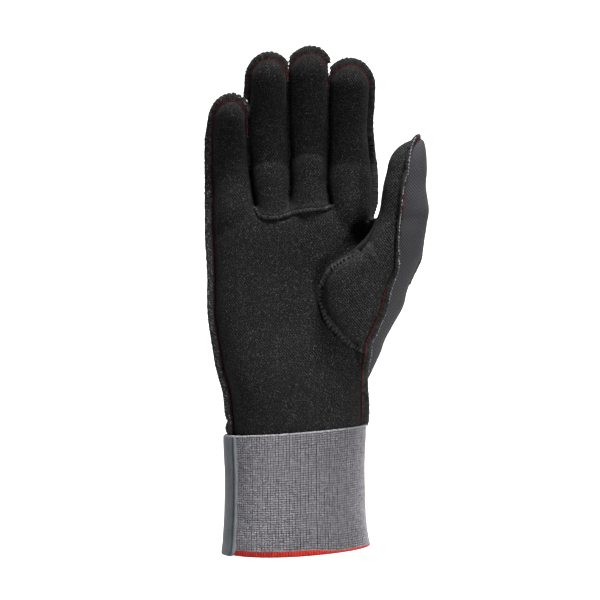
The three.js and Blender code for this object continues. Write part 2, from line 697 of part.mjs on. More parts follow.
const cuffBottom = HEM_WALL + CLEARANCE;
const cuffTop = wristHeight - CLEARANCE;
const cuffOut = (z) => column(cuffRows, "out", z / CUFF_HEIGHT) * CUFF_WIDTH;
const neckRing = (inset, z) => {
  const s = sectionAt(palm, wristHeight);
  return Array.from({ length: CUFF_SIDES }, (_, i) => {
    const angle = (2 * Math.PI * (i + 0.5)) / CUFF_SIDES;
    const x = s.x + (s.halfWidth - inset) * Math.cos(angle);
    return new THREE.Vector3(x, s.y + (s.halfDepth - inset) * Math.sin(angle), z + slopeAt(x));
  });
};
const cuffHeights = range(cuffBottom, cuffTop - 3 * CUFF_WALL, 5);
const neckInset = FABRIC + CLEARANCE;
const cuff = wallSolid([
  ...cuffHeights.map((z) => cuffRing(cuffOut(z), z)),
  cuffRing(cuffOut(cuffTop) - CUFF_SHOULDER, cuffTop - CUFF_WALL),
  cuffRing(cuffOut(cuffTop) - CUFF_WALL, cuffTop),
  neckRing(neckInset, cuffTop),
  neckRing(neckInset, cuffTop + CUFF_TUCK),
  neckRing(neckInset + CUFF_WALL, cuffTop + CUFF_TUCK),
  neckRing(neckInset + CUFF_WALL, cuffTop - CUFF_WALL),
  ...range(cuffHeights.at(-1), cuffBottom, 2).map((z) => cuffRing(cuffOut(z) - CUFF_WALL, z)),
]);

const hemProfile = [
  { out: CLEARANCE + HEM_WALL, z: HEM_HEIGHT },
  { out: CLEARANCE, z: HEM_HEIGHT },
  { out: CLEARANCE, z: HEM_WALL },
  { out: -CUFF_WALL - CLEARANCE, z: HEM_WALL },
  { out: -CUFF_WALL - CLEARANCE, z: HEM_INSIDE },
  { out: -CUFF_WALL - CLEARANCE - HEM_WALL, z: HEM_INSIDE },
  { out: -CUFF_WALL - CLEARANCE - HEM_WALL, z: HEM_WALL / 2 },
  { out: -CUFF_WALL, z: 0 },
  { out: 0, z: 0 },
  { out: CLEARANCE + HEM_WALL, z: HEM_WALL / 2 },
];
const hem = wallSolid(hemProfile.map(({ out, z }) => cuffRing(cuffOut(z) + out, z)));

// Side tab: a strip laid round the cuff's outer side, over the hem
function tabSolid() {
  const bottom = -CLEARANCE;
  const top = cuffTop - 2 * CUFF_WALL;
  const halfAngle = TAB_WIDTH / (CUFF_WIDTH + CUFF_DEPTH) * 2;
  const overlap = HEM_HEIGHT + TAB_WALL;
  const lower = [bottom, bottom + TAB_CORNER / 3, bottom + TAB_CORNER, overlap];
  const heights = [...lower, ...range(overlap + TAB_CORNER, top, 4)];
  const rings = heights.map((z) => {
    const corner = Math.max(0, 1 - (z - bottom) / TAB_CORNER);
    const reach = halfAngle * (1 - 0.25 * corner * corner);
    const overHem = z <= overlap ? HEM_WALL + CLEARANCE : 0;
    const inner = cuffOut(Math.max(z, 0)) + overHem + CLEARANCE;
    const angles = range(Math.PI - reach, Math.PI + reach, 8);
    return [
      ...angles.map((angle) => cuffPoint(angle, inner + TAB_WALL, z)),
      ...angles.reverse().map((angle) => cuffPoint(angle, inner, z)),
    ];
  });
  return toSolid(loftGeometry(rings));
}

const group = new THREE.Group();
const fabricBlack = { color: 0x1a1a1b, roughness: 0.95 };
const fabricGrey = { color: 0x3a3a3d, roughness: 0.92 };
const overlock = { color: 0x202021, roughness: 0.9 };
const knitGrey = { color: 0x77767a, roughness: 0.9 };
const red = { color: 0xc4241c, roughness: 0.85 };
const tabGrey = { color: 0x54575c, roughness: 0.6 };

const parts = [
  ["palm_panel", palmPanel, fabricBlack],
  ["finger_insert", insertPanel, fabricBlack],
  ["thumb_front", thumbFront, fabricBlack],
  ["back_panel", backPanel, fabricGrey],
  ["thumb_back", thumbBack, fabricGrey],
  ["seam_little", littleSeam, overlock],
  ["seam_ring", ringSeam, overlock],
  ["seam_middle", middleSeam, overlock],
  ["seam_index", indexSeam, overlock],
  ["seam_thumb", thumbSeam(), overlock],
  ["seam_thumb_root", ridgeSolid(rootPoints), overlock],
  ["seam_finger_base", ridgeSolid(basePoints), overlock],
  ["cuff", cuff, knitGrey],
  ["hem", hem, red],
  ["side_tab", tabSolid(), tabGrey],
];
for (const [name, solid, look] of parts) {
  const material = new THREE.MeshStandardMaterial({ ...look, metalness: 0 });
  const mesh = new THREE.Mesh(toGeometry(largestPiece(solid)), material);
  mesh.name = name;
  group.add(mesh);
}

export default group;
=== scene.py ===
import math
import bpy
import numpy as np
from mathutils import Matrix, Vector, noise
from mathutils.bvhtree import BVHTree


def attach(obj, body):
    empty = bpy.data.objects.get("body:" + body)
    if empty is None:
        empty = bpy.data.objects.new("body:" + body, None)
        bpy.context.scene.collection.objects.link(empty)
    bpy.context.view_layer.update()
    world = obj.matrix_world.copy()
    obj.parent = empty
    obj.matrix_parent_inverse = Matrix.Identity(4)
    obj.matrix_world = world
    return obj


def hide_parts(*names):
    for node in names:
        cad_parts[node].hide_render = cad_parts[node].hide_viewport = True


# A glove liner for a right hand, palm towards -Y and fingers up. Shapes are worked out in
# millimetres and scaled to metres when a mesh is made.
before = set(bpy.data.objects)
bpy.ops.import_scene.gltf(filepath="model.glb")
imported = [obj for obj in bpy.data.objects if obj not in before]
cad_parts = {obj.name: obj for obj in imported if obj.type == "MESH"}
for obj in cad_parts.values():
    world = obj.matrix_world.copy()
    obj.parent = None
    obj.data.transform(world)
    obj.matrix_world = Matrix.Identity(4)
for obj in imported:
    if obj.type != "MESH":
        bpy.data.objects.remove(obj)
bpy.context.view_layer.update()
MM = 0.001

# Camera
CAMERA_DISTANCE = 1.8
CAMERA_ELEVATION = 2.5
FRAME_HEIGHT = 0.3354
TARGET = Vector((0.0028, 0.0, 0.1414))

# Cuff and hem
CUFF_HEIGHT = 68.5
CUFF_WIDTH = 77.6
CUFF_DEPTH = 46.5
EDGE_SLOPE = 0.075
HEM_SLOPE = 0.05
HEM_BOW = 1.3
TAB_WIDTH = 38.0
WALE = 1.5
COURSE = 1.25

# Hand
PALM_LENGTH = 123.6
WRIST_WIDTH = 71.0
WRIST_DEPTH = 42.5
KNUCKLE_WIDTH = 88.8
KNUCKLE_SHIFT = -1.4
PALM_DEPTH = 34.0
MIDDLE_LENGTH = 87.6
LENGTHS = {"little": 61.5, "ring": 84.4, "middle": MIDDLE_LENGTH, "index": 80.9}
FINGER_BEND = 8.0
FINGER_GAP = 0.5
FINGER_ROOT = 30.0
THUMB_HEIGHT = 142.9
THUMB_SPREAD = 69.5
THUMB_WIDTH = 24.0
THUMB_DEPTH = 23.0
THUMB_FORWARD = 30.5
THUMB_ROUND = 17.15

# Cloth and seams
VOXEL = 0.8
CLOTH = 1.4
SIDE_FIN = 4.7
TIP_FIN = 3.5
TIP_ROOM = 1.3
FIN_HALF = 0.8
STITCH = 1.8
TUBE_SIDES = 6
EDGE_TUCK = 1.6
GUSSET_BOTTOM = 114.1
WEB_HEIGHT = 188.0
WEB_EDGE = 46.4
ROOT_CORNER = (39.9, 174.5)

CROTCH = CUFF_HEIGHT + PALM_LENGTH
THUMB_START = CROTCH - 0.84 * PALM_LENGTH
THUMB_TOP = THUMB_START + THUMB_HEIGHT
KNUCKLE_LEFT = KNUCKLE_SHIFT - KNUCKLE_WIDTH / 2


def table(names, rows):
    """Named columns of numbers against the first one, read as smooth curves without overshoot."""
    grid = np.array(rows, float)
    at = grid[:, 0]
    curves = {}
    for name, values in zip(names.split(), grid[:, 1:].T):
        slope = np.diff(values) / np.diff(at)
        before, after = slope[:-1], slope[1:]
        total = before + after
        inner = np.where(before * after > 0, 2 * before * after / np.where(total == 0, 1, total), 0)
        curves[name] = (values, np.concatenate([slope[:1], inner, slope[-1:]]))

    def read(name, where):
        values, tangent = curves[name]
        where = np.clip(np.asarray(where, float), at[0], at[-1])
        i = np.clip(np.searchsorted(at, where, side="right") - 1, 0, len(at) - 2)
        span = at[i + 1] - at[i]
        t = (where - at[i]) / span
        rise = t * t * (3 - 2 * t)
        bulge = t * (1 - t) ** 2 * tangent[i] - t * t * (1 - t) * tangent[i + 1]
        return values[i] * (1 - rise) + values[i + 1] * rise + span * bulge

    return read


palm_rows = table("blend left right front back hollow", [
    (0.0, 0.0, -0.92, 1.08, -1.0, 1.0, 0.0),
    (0.15, 0.0, -0.96, 1.087, -1.02, 1.0, 0.02),
    (0.31, 0.3, -1.02, 1.06, -1.06, 1.0, 0.1),
    (0.51, 0.7, -1.022, 1.038, -1.04, 0.94, 0.22),
    (0.7, 0.95, -0.983, 1.037, -0.94, 0.88, 0.2),
    (0.86, 1.0, -0.991, 1.027, -0.8, 0.78, 0.08),
    (1.0, 1.0, -1.0, 1.0, -0.72, 0.71, 0.0),
])
lane_rows = table("little ring middle index end", [
    (-0.2, 0.0, 0.273, 0.475, 0.732, 1.0),
    (0.0, 0.0, 0.266, 0.476, 0.734, 1.0),
    (0.18, -0.002, 0.243, 0.485, 0.716, 1.0),
    (0.37, -0.002, 0.224, 0.483, 0.724, 0.98),
    (0.54, 0.007, 0.215, 0.476, 0.729, 0.968),
    (0.7, 0.015, 0.228, 0.473, 0.729, 0.977),
    (0.82, 0.02, 0.237, 0.472, 0.729, 0.98),
])
finger_rows = table("bend deep", [
    (-0.34, 0.0, 0.34),
    (-0.12, 0.02, 0.5),
    (0.0, 0.06, 0.53),
    (0.27, 0.3, 0.51),
    (0.5, -0.05, 0.49),
    (0.75, -0.7, 0.48),
    (1.0, -1.4, 0.45),
])
thumb_rows = table("out wide fore deep seam lean", [
    (0.0, 0.46, 0.19, -0.02, 0.24, 1.2, 0.98),
    (0.06, 0.497, 0.23, -0.07, 0.32, 0.76, 0.97),
    (0.13, 0.54, 0.27, -0.13, 0.42, 0.52, 0.95),
    (0.217, 0.585, 0.33, -0.18, 0.53, 0.42, 0.93),
    (0.297, 0.547, 0.63, -0.25, 0.64, 0.657, 0.9),
    (0.437, 0.54, 0.99, -0.4, 0.76, 0.743, 0.82),
    (0.56, 0.604, 1.03, -0.54, 0.76, 0.75, 0.6),
    (0.643, 0.727, 0.83, -0.65, 0.73, 0.636, 0.15),
    (0.697, 0.789, 0.69, -0.73, 0.69, 0.56, -0.15),
    (0.763, 0.836, 0.6, -0.83, 0.62, 0.485, -0.3),
    (0.842, 0.867, 0.55, -0.92, 0.56, 0.42, -0.1),
    (0.921, 0.866, 0.495, -0.98, 0.5, 0.43, 0.1),
    (1.0, 0.886, 0.45, -1.0, 0.46, 0.45, 0.3),
])
rear_rows = table("y", [
    (0.0, 0.1), (0.3, -0.1), (0.6, -0.45), (0.72, -0.5), (0.84, -0.35), (0.95, 0.4), (1.0, 3.0),
])
side_rows = table("y", [
    (0.0, -0.4), (0.25, -0.3), (0.5, 0.0), (0.62, 0.08),
    (0.7, 0.28), (0.8, -0.1), (0.9, -0.7), (1.0, -1.45),
])
base_rows = table("rise", [
    (0.0, 0.008), (0.06, -0.026), (0.2, -0.036), (0.38, -0.03),
    (0.5, -0.014), (0.75, 0.0), (0.92, 0.004), (1.0, 0.014),
])
root_rows = table("x", [
    (45.6, 39.5), (48.4, 31.3), (55.4, 23.5), (63.3, 17.0), (77.5, 14.0), (86.6, 17.0),
    (92.5, 21.8), (96.5, 28.6), (99.3, 34.1), (106.0, 39.9), (113.0, 43.6), (120.7, 46.4),
])
sink_rows = table("deep reach", [
    (45.0, 1.0, 2.0), (55.0, 1.5, 2.2), (77.0, 1.6, 2.5), (90.0, 2.0, 4.0),
    (98.0, 2.0, 5.0), (106.0, 1.6, 5.0), (115.0, 0.8, 5.0), (123.0, 0.0, 5.0),
])
cuff_rows = table("out", [
    (0.0, 0.018), (0.13, 0.012), (0.35, 0.001), (0.65, -0.004), (0.85, 0.003), (0.95, 0.006),
])


def unit(value):
    return np.clip(value, 0, 1)


def around(count):
    """Angles of equal steps round a circle."""
    return np.linspace(0, 2 * math.pi, count, endpoint=False)


def directions(rows):
    """The same rows, each made one long."""
    return rows / (np.linalg.norm(rows, axis=-1, keepdims=True) + 1e-9)


def distances(pts):
    """How far along a line each of its points lies."""
    return np.concatenate([[0], np.cumsum(np.linalg.norm(np.diff(pts, axis=0), axis=1))])


# Forms of the hand, as level sections closed by a rounded tip
def lane(line, z):
    return KNUCKLE_LEFT + lane_rows(line, (z - CROTCH) / MIDDLE_LENGTH) * KNUCKLE_WIDTH


def palm_shape(z):
    at = (z - CUFF_HEIGHT) / PALM_LENGTH
    blend = palm_rows("blend", at)
    half_width = (WRIST_WIDTH + (KNUCKLE_WIDTH - WRIST_WIDTH) * blend) / 2
    half_depth = (WRIST_DEPTH + (PALM_DEPTH - WRIST_DEPTH) * blend) / 2
    sides = [KNUCKLE_SHIFT + palm_rows(key, at) * half_width for key in ("left", "right")]
    return (*sides, *[palm_rows(key, at) * half_depth for key in ("front", "back", "hollow")])


def finger_shape(name, following, length, depth):
    def shape(z):
        at = (z - CROTCH) / length
        middle = finger_rows("bend", at) * FINGER_BEND
        half_depth = finger_rows("deep", at) * depth
        left = lane(name, z) + (0 if name == "little" else FINGER_GAP / 2)
        right = lane(following, z) - (0 if following == "end" else FINGER_GAP / 2)
        return left, right, middle - half_depth, middle + half_depth, 0 * z
    return shape


def thumb_at(z):
    return (z - THUMB_START) / (THUMB_HEIGHT - THUMB_ROUND)


def thumb_shape(z):
    at = thumb_at(z)
    x = thumb_rows("out", at) * THUMB_SPREAD
    y = thumb_rows("fore", at) * THUMB_FORWARD
    half_width = thumb_rows("wide", at) * THUMB_WIDTH
    half_depth = thumb_rows("deep", at) * THUMB_DEPTH
    return x - half_width, x + half_width, y - half_depth, y + half_depth, 0 * z


class Form:
    def __init__(self, shape, bottom, top, rounding, drift, power, lines=None):
        self.shape, self.bottom, self.top, self.lines = shape, bottom, top, lines
        self.rounding, self.drift, self.power = rounding, drift, power
        self.shoulder = top - rounding

    def section(self, z):
        z = np.asarray(z, float)
        t = unit((z - self.shoulder) / self.rounding)
        shrink = np.sqrt(1 - t * t)
        left, right, front, back, hollow = self.shape(np.minimum(z, self.shoulder))
        _, _, tip_front, tip_back, _ = self.shape(z)
        x = (left + right) / 2 + self.drift * (1 - shrink)
        y = (tip_front + tip_back) / 2
        return x, y, (right - left) / 2 * shrink, (back - front) / 2 * shrink, hollow * shrink

    def edge(self, z, side):
        x, _, half_width, _, _ = self.section(z)
        return x + side * half_width

    def rings(self, step, sides):
        body = np.arange(self.bottom, self.shoulder, step)
        tip = self.shoulder + self.rounding * np.sin(np.linspace(0, 1, 28) * math.pi / 2)
        z = np.concatenate([body, tip[:-1]])[:, None]
        x, y, half_width, half_depth, hollow = self.section(z)
        angle = around(sides)[None, :]
        across = np.sign(np.cos(angle)) * np.abs(np.cos(angle)) ** (2 / self.power)
        deep = np.sign(np.sin(angle)) * np.abs(np.sin(angle)) ** (2 / self.power)
        dip = np.where(deep < 0, hollow * (1 - across * across) ** 2, 0)
        return np.stack([x + half_width * across, y + half_depth * deep + dip, z + 0 * across], axis=-1)


palm = Form(palm_shape, CUFF_HEIGHT - 14, CROTCH + 6, 26, 0, 2.5)
little, ring, middle, index = [
    Form(
        finger_shape(name, following, LENGTHS[name], depth), CROTCH - FINGER_ROOT,
        CROTCH + LENGTHS[name] - TIP_ROOM, rounding - TIP_ROOM, drift, 2.2, (name, following),
    )
    for name, following, depth, rounding, drift in [
        ("little", "ring", 18.5, 14.5, 1.5),
        ("ring", "middle", 21.0, 14.5, 0.5),
        ("middle", "index", 21.0, 16.0, 1.9),
        ("index", "end", 21.0, 14.0, 0.3),
    ]
]
thumb = Form(thumb_shape, THUMB_START, THUMB_TOP, THUMB_ROUND, 8, 2.15)
forms = [palm, little, ring, middle, index, thumb]


def side_seam_y(z, length=MIDDLE_LENGTH):
    """Depth of the seam between front and back, which ends at the middle of each fingertip."""
    start = CROTCH + 8
    z = np.asarray(z, float)
    along = np.where(z > start, start + (z - start) * (MIDDLE_LENGTH - 8) / (length - 8), z)
    return side_rows("y", (along - CUFF_HEIGHT) / (PALM_LENGTH + MIDDLE_LENGTH)) * FINGER_BEND


def length_at(x, z):
    """Length of the finger whose lane holds a point."""
    lanes = [x < lane(line, z) for line in ("ring", "middle", "index")]
    return np.select(lanes, [LENGTHS[name] for name in ("little", "ring", "middle")], LENGTHS["index"])


def thumb_seam_x(z):
    x, _, half_width, _, _ = thumb.section(z)
    return x + (2 * thumb_rows("seam", thumb_at(z)) - 1) * half_width


def thumb_rear_y(z):
    return rear_rows("y", (z - THUMB_START) / (CROTCH + 4 - THUMB_START)) * THUMB_FORWARD


def base_seam_z(x):
    start, end = lane("ring", CROTCH), lane("index", CROTCH)
    return CROTCH + base_rows("rise", (x - start) / (end - start)) * PALM_LENGTH


def zone_edge(z):
    """Where the thumb's front panel meets the palm, and above that the thumb's own inner side."""
    z = np.asarray(z, float)
    x, _, half_width, _, _ = thumb.section(np.minimum(z, thumb.shoulder))
    root = root_rows("x", z - CUFF_HEIGHT)
    return np.where(z < WEB_HEIGHT, root, np.minimum(x - half_width, WEB_EDGE) - 0.5)


# Meshes
def make_mesh(name, points, quads=(), tris=()):
    quads = np.asarray(quads, np.int32).reshape(-1, 4)
    tris = np.asarray(tris, np.int32).reshape(-1, 3)
    mesh = bpy.data.meshes.new(name)
    mesh.vertices.add(len(points))
    mesh.vertices.foreach_set("co", (np.asarray(points, np.float32) * MM).ravel())
    mesh.loops.add(quads.size + tris.size)
    mesh.loops.foreach_set("vertex_index", np.concatenate([quads.ravel(), tris.ravel()]))
    mesh.polygons.add(len(quads) + len(tris))
    starts = np.concatenate([np.arange(len(quads)) * 4, quads.size + np.arange(len(tris)) * 3])
    mesh.polygons.foreach_set("loop_start", starts.astype(np.int32))
    mesh.update(calc_edges=True)
    mesh.validate()
    mesh.polygons.foreach_set("use_smooth", np.ones(len(mesh.polygons), bool))
    piece = bpy.data.objects.new(name, mesh)
    bpy.context.scene.collection.objects.link(piece)
    return piece


def read_mesh(mesh):
    points = np.empty(len(mesh.vertices) * 3, np.float32)
    mesh.vertices.foreach_get("co", points)
    corners = np.empty(len(mesh.loops), np.int32)
    mesh.loops.foreach_get("vertex_index", corners)
    sizes = np.empty(len(mesh.polygons), np.int32)
    mesh.polygons.foreach_get("loop_total", sizes)
    return points.reshape(-1, 3).astype(float) / MM, corners, sizes


def grid_faces(rows, columns, closed_rows=False):
    """Quads of a grid of points whose columns close on themselves."""
    r = np.arange(rows if closed_rows else rows - 1)[:, None]
    c = np.arange(columns)[None, :]
    nxt = (c + 1) % columns
    up = (r + 1) % rows
    corners = [r * columns + c, r * columns + nxt, up * columns + nxt, up * columns + c]
    return np.stack(corners, axis=-1).reshape(-1, 4)


class Parts:
    """Points and faces of many bodies that become one mesh."""

    def __init__(self):
        self.points, self.quads, self.tris, self.count = [], [], [], 0

    def add(self, points, quads, tris=None):
        self.points.append(points.reshape(-1, 3))
        self.quads.append(quads + self.count)
        if tris is not None:
            self.tris.append(tris + self.count)
        self.count += len(self.points[-1])

    def loft(self, rings):
        rows, columns = rings.shape[:2]
        flat = rings.reshape(-1, 3)
        ends = np.stack([rings[0].mean(0), rings[-1].mean(0)])
        c = np.arange(columns)
        nxt = (c + 1) % columns
        total = rows * columns
        last = total - columns
        low = np.stack([nxt, c, np.full(columns, total)], axis=-1)
        high = np.stack([c + last, nxt + last, np.full(columns, total + 1)], axis=-1)
        self.add(np.concatenate([flat, ends]), grid_faces(rows, columns), np.concatenate([low, high]))

    def tubes(self, paths, radius, sides, reference):
        """Many tubes of equal point count: paths (m, k, 3), radius (m, k) or (k,), reference (m, 3)."""
        m, k, _ = paths.shape
        along = directions(np.gradient(paths, axis=1))
        first = directions(np.cross(along, np.broadcast_to(reference[:, None, :], paths.shape)))
        second = np.cross(along, first)
        angle = np.arange(sides) * 2 * math.pi / sides
        radius = np.broadcast_to(np.asarray(radius, float), (m, k))[:, :, None, None]
        first, second = first[:, :, None, :], second[:, :, None, :]
        offset = first * np.cos(angle)[:, None] + second * np.sin(angle)[:, None]
        points = paths[:, :, None, :] + radius * offset
        one = grid_faces(k, sides)
        starts = np.arange(m)[:, None, None] * k * sides
        c = np.arange(1, sides - 1)
        cap = np.stack([np.zeros_like(c), c, c + 1], axis=-1)
        caps = np.concatenate([cap[:, ::-1], cap + (k - 1) * sides])
        self.add(points, (one[None] + starts).reshape(-1, 4), (caps[None] + starts).reshape(-1, 3))

    def piece(self, name):
        tris = np.concatenate(self.tris) if self.tris else ()
        return make_mesh(name, np.concatenate(self.points), np.concatenate(self.quads), tris)


# The hand's outer skin, one closed surface
def skin():
    parts = Parts()
    parts.loft(palm.rings(1.2, 120))
    for form in (little, ring, middle, index, thumb):
        parts.loft(form.rings(1.0, 72))
    x, y, half_width, _, _ = palm.section(CUFF_HEIGHT)
    t = np.linspace(-1, 1, 24)[:, None]
    a = around(32)[None, :]
    wide = np.sqrt(1 - (t * 0.99) ** 2)
    puff = np.stack([
        x - half_width + 1.0 + 6.2 * wide * np.cos(a),
        side_seam_y(CUFF_HEIGHT) + 7 + 5.5 * wide * np.sin(a),
        CUFF_HEIGHT + 1.0 + 6.0 * t + 0 * a,
    ], axis=-1)
    parts.loft(puff)
    # web between the palm's edge and the thumb
    across = np.linspace(0, 1, 12)[:, None]
    web = np.stack([
        37.0 + 13.5 * across + 0 * a,
        -1.0 - 14.5 * across + 4.5 * np.cos(a),
        168.0 + 4.0 * across + 17.5 * np.sin(a),
    ], axis=-1)
    parts.loft(web)
    piece = parts.piece("skin")
    remesh = piece.modifiers.new("voxels", "REMESH")
    remesh.mode = "VOXEL"
    remesh.voxel_size = VOXEL * MM
    solid = bpy.data.meshes.new_from_object(piece.evaluated_get(bpy.context.evaluated_depsgraph_get()))
    points, corners, sizes = read_mesh(solid)
    bpy.data.objects.remove(piece)
    quads = corners.reshape(-1, 4)
    return points, quads


def edges_of(faces):
    return np.concatenate([faces[:, [k, (k + 1) % 4]] for k in range(4)])


def smooth(points, quads, rounds):
    edges = edges_of(quads)
    edges = np.concatenate([edges, edges[:, ::-1]])
    count = np.bincount(edges[:, 0], minlength=len(points))[:, None]
    for _ in range(rounds):
        near = points[edges[:, 1]]
        total = np.stack([np.bincount(edges[:, 0], near[:, k], len(points)) for k in range(3)], axis=1)
        points = points + 0.5 * (total / count - points)
    return points


def normals_of(points, quads):
    a, b, c, d = [points[quads[:, k]] for k in range(4)]
    face = np.cross(c - a, d - b)
    total = np.stack([
        sum(np.bincount(quads[:, k], face[:, axis], len(points)) for k in range(4)) for axis in range(3)
    ], axis=1)
    return directions(total)


def bump(value, center, width):
    return np.exp(-(((value - center) / width) ** 2))


def noise_at(points, scale, seed):
    offset = Vector((seed * 7.3, seed * 3.1, seed * 5.7))
    return np.array([noise.noise(Vector(p) * scale + offset) for p in points])


points, quads = skin()
points = smooth(points, quads, 5)
normals = normals_of(points, quads)
points = points + normals * 0.12
# Height and strength of each finger's crease
CREASES = ((little, 219.0, 0.25), (ring, 217.3, 1.0), (middle, 221.8, 1.0), (index, 216.5, 0.5))


def hand_relief(points, normals):
    """How far the cloth stands out of the plain form."""
    x, y, z = points.T
    front = unit(-normals[:, 1] * 1.6)
    rise = 0.35 * noise_at(points, 0.045, 1) + 0.16 * noise_at(points, 0.12, 2)
    # finger creases: the pad below stands out, a fold runs across, and the cloth sinks above it
    for form, crease, size in CREASES:
        left, right = form.edge(z, -1), form.edge(z, 1)
        across = (x - (left + right) / 2) / (right - left) * 2
        inside = unit((1.02 - np.abs(across)) * 8) * front * (z > CROTCH)
        line = crease - 2.6 * across * across
        above = z - line
        pad = 0.75 * bump(z, line - 6.0, 7.0)
        fold = -0.45 * bump(z, line + 0.3, 1.3)
        fold = fold - 0.8 * np.exp(-np.clip(above, 0, 99) / 13) * unit(above / 1.5)
        rise = rise + inside * size * (pad + fold)
    # valleys between the fingers
    deep = unit(np.abs(normals[:, 1]) * 1.6)
    for line in ("ring", "middle", "index"):
        along = unit((z - CROTCH + 6) / 8)
        rise = rise - 1.5 * along * deep * bump(x, lane(line, z), 0.9)
    # the palm sinks beside the thumb's root, and the root's panel is full
    gap = zone_edge(z) - x
    height = z - CUFF_HEIGHT
    facing = unit((-normals[:, 1] - 0.35) * 2.2)
    at_root = facing * unit((z - GUSSET_BOTTOM + 1) / 3)
    deep = sink_rows("deep", height)
    fade = np.exp(-np.clip(gap, 0, 99) / sink_rows("reach", height))
    sink = 1.35 * deep * fade * unit(gap / 0.5)
    full = 2.2 * (1 - np.exp(-np.clip(-gap, 0, 99) / 2.8)) * unit((WEB_HEIGHT - z) / 20)
    recess = 4.8 * bump(x, 40.0, 17.0) * bump(z, 172.0, 12.5) * unit(gap / 1.5)
    crack = 1.1 * bump(gap, 1.7, 0.9) * unit((170 - z) / 8)
    rise = rise + at_root * (full - sink - recess - crack)
    # a fold runs down from the root's top corner
    corner_x, corner_z = ROOT_CORNER
    along = (x - corner_x) * 0.53 - (z - corner_z) * 0.85
    beside = (x - corner_x) * 0.85 + (z - corner_z) * 0.53
    window = unit((along + 2) / 2) * unit((16 - along) / 12) * front * (gap < 0)
    rise = rise + window * (0.9 * np.exp(-np.abs(beside) / 3) * np.tanh(-beside / 0.5))
    # the seam under the fingers rolls over a slit
    base = base_seam_z(x)
    from_left = unit((x - lane("ring", CROTCH)) / 2)
    from_right = unit((lane("index", CROTCH) + 1 - x) / 2)
    held = front * from_left * from_right
    slit = np.clip(np.sin((x + 17) * 0.17 + 1.2) + 0.75, 0.15, 1)
    rise = rise + held * (0.9 * bump(z, base + 1.2, 1.6) - 1.8 * slit * bump(z, base - 1.5, 0.8))
    return rise


points = points + normals * hand_relief(points, normals)[:, None]
points = smooth(points, quads, 1)
normals = normals_of(points, quads)

# The lower edge is cut along the slope and rolls inwards over the cuff
edge_height = points[:, 2] - CUFF_HEIGHT - EDGE_SLOPE * points[:, 0]
roll = unit(1 - edge_height / EDGE_TUCK)
centre = palm.section(CUFF_HEIGHT)
inward = [centre[0] - points[:, 0], centre[1] - points[:, 1], 0 * points[:, 0]]
inward = directions(np.stack(inward, axis=1))
points = points + inward * (0.6 * (1 - np.sqrt(1 - roll ** 2)))[:, None]
tree = BVHTree.FromPolygons(points.tolist(), quads.tolist())


def surface(x, z):
    """Point and normal of the skin seen from the palm side."""
    hit, normal, _, _ = tree.ray_cast(Vector((x, -200, z)), Vector((0, 1, 0)))
    return (np.array(hit), np.array(normal)) if hit else (None, None)


def panels():
    centres = points[quads].mean(1)
    x, y, z = centres.T
    kept = z > CUFF_HEIGHT - EDGE_TUCK + EDGE_SLOPE * x
    behind = y > side_seam_y(z, length_at(x, z))
    before_rear = y < thumb_rear_y(z)
    right_of_seam = (x > thumb_seam_x(np.minimum(z, THUMB_TOP - 0.3))) & (z > THUMB_START)
    right_of_zone = (x > zone_edge(z)) & (z > GUSSET_BOTTOM)
    zone = (right_of_zone | right_of_seam) & before_rear
    insert = (x > lane("ring", z)) & (x < lane("index", z)) & (z > base_seam_z(x))
    chosen = {
        "thumb_back": zone & right_of_seam,
        "thumb_front": zone & ~right_of_seam,
        "back_panel": ~zone & behind,
        "finger_insert": ~zone & ~behind & insert,
        "palm_panel": ~zone & ~behind & ~insert,
    }
    made = {}
    for name, mask in chosen.items():
        faces = quads[mask & kept]
        used, corner = np.unique(faces.ravel(), return_inverse=True)
        outer = points[used]
        inner = outer - normals[used] * CLOTH
        faces = corner.reshape(-1, 4)
        n = len(used)
        edges = edges_of(faces)
        key = edges[:, 0].astype(np.int64) * n + edges[:, 1]
        back_key = edges[:, 1].astype(np.int64) * n + edges[:, 0]
        rim = edges[~np.isin(key, back_key)]
        walls = np.stack([rim[:, 1], rim[:, 0], rim[:, 0] + n, rim[:, 1] + n], axis=-1)
        all_faces = np.concatenate([faces, faces[:, ::-1] + n, walls])
        made[name] = make_mesh(name + "_cloth", np.concatenate([outer, inner]), all_faces)
    return made


# Seam edges: cloth and looped threads that stand out along a path
def between(where, at, rows):
    """Rows of three numbers, read at places along a line."""
    return np.stack([np.interp(where, at, rows[:, k]) for k in range(3)], axis=-1)


class Fin:
    def __init__(self, stations, widths, face):
        """stations: points, outs: outward directions, face: the side that stitches show on."""
        pts, outs = [np.array(v, float) for v in stations]
        self.length, self.pts, self.outs = distances(pts), pts, outs
        self.total = self.length[-1]
        self.widths = np.broadcast_to(np.asarray(widths, float), len(pts))
        self.face = np.array(face, float)

    def at(self, s):
        s = np.clip(s, 0, self.total)
        point = between(s, self.length, self.pts)
        along = directions(between(s, self.length, self.pts_at(0.6) - self.pts_at(-0.6)))
        out = between(s, self.length, self.outs)
        out = directions(out - along * (out * along).sum(-1, keepdims=True))
        side = np.cross(along, out)
        sign = np.sign((side * self.face).sum(-1, keepdims=True))
        sign[sign == 0] = 1
        return point, along, out, side * sign, np.interp(s, self.length, self.widths)

    def pts_at(self, shift):
        s = np.clip(self.length + shift, 0, self.total)
        return between(s, self.length, self.pts)


def resample(path, step=0.8):
    pts, outs = np.array(path[0], float), np.array(path[1], float)
    d = distances(pts)
    s = np.linspace(0, d[-1], max(4, int(d[-1] / step)))
    pts, outs = between(s, d, pts), between(s, d, outs)
    for _ in range(4):
        outs[1:-1] = (outs[:-2] + outs[1:-1] + outs[2:]) / 3
        pts[1:-1] = (pts[:-2] + 2 * pts[1:-1] + pts[2:]) / 4
    return pts, outs


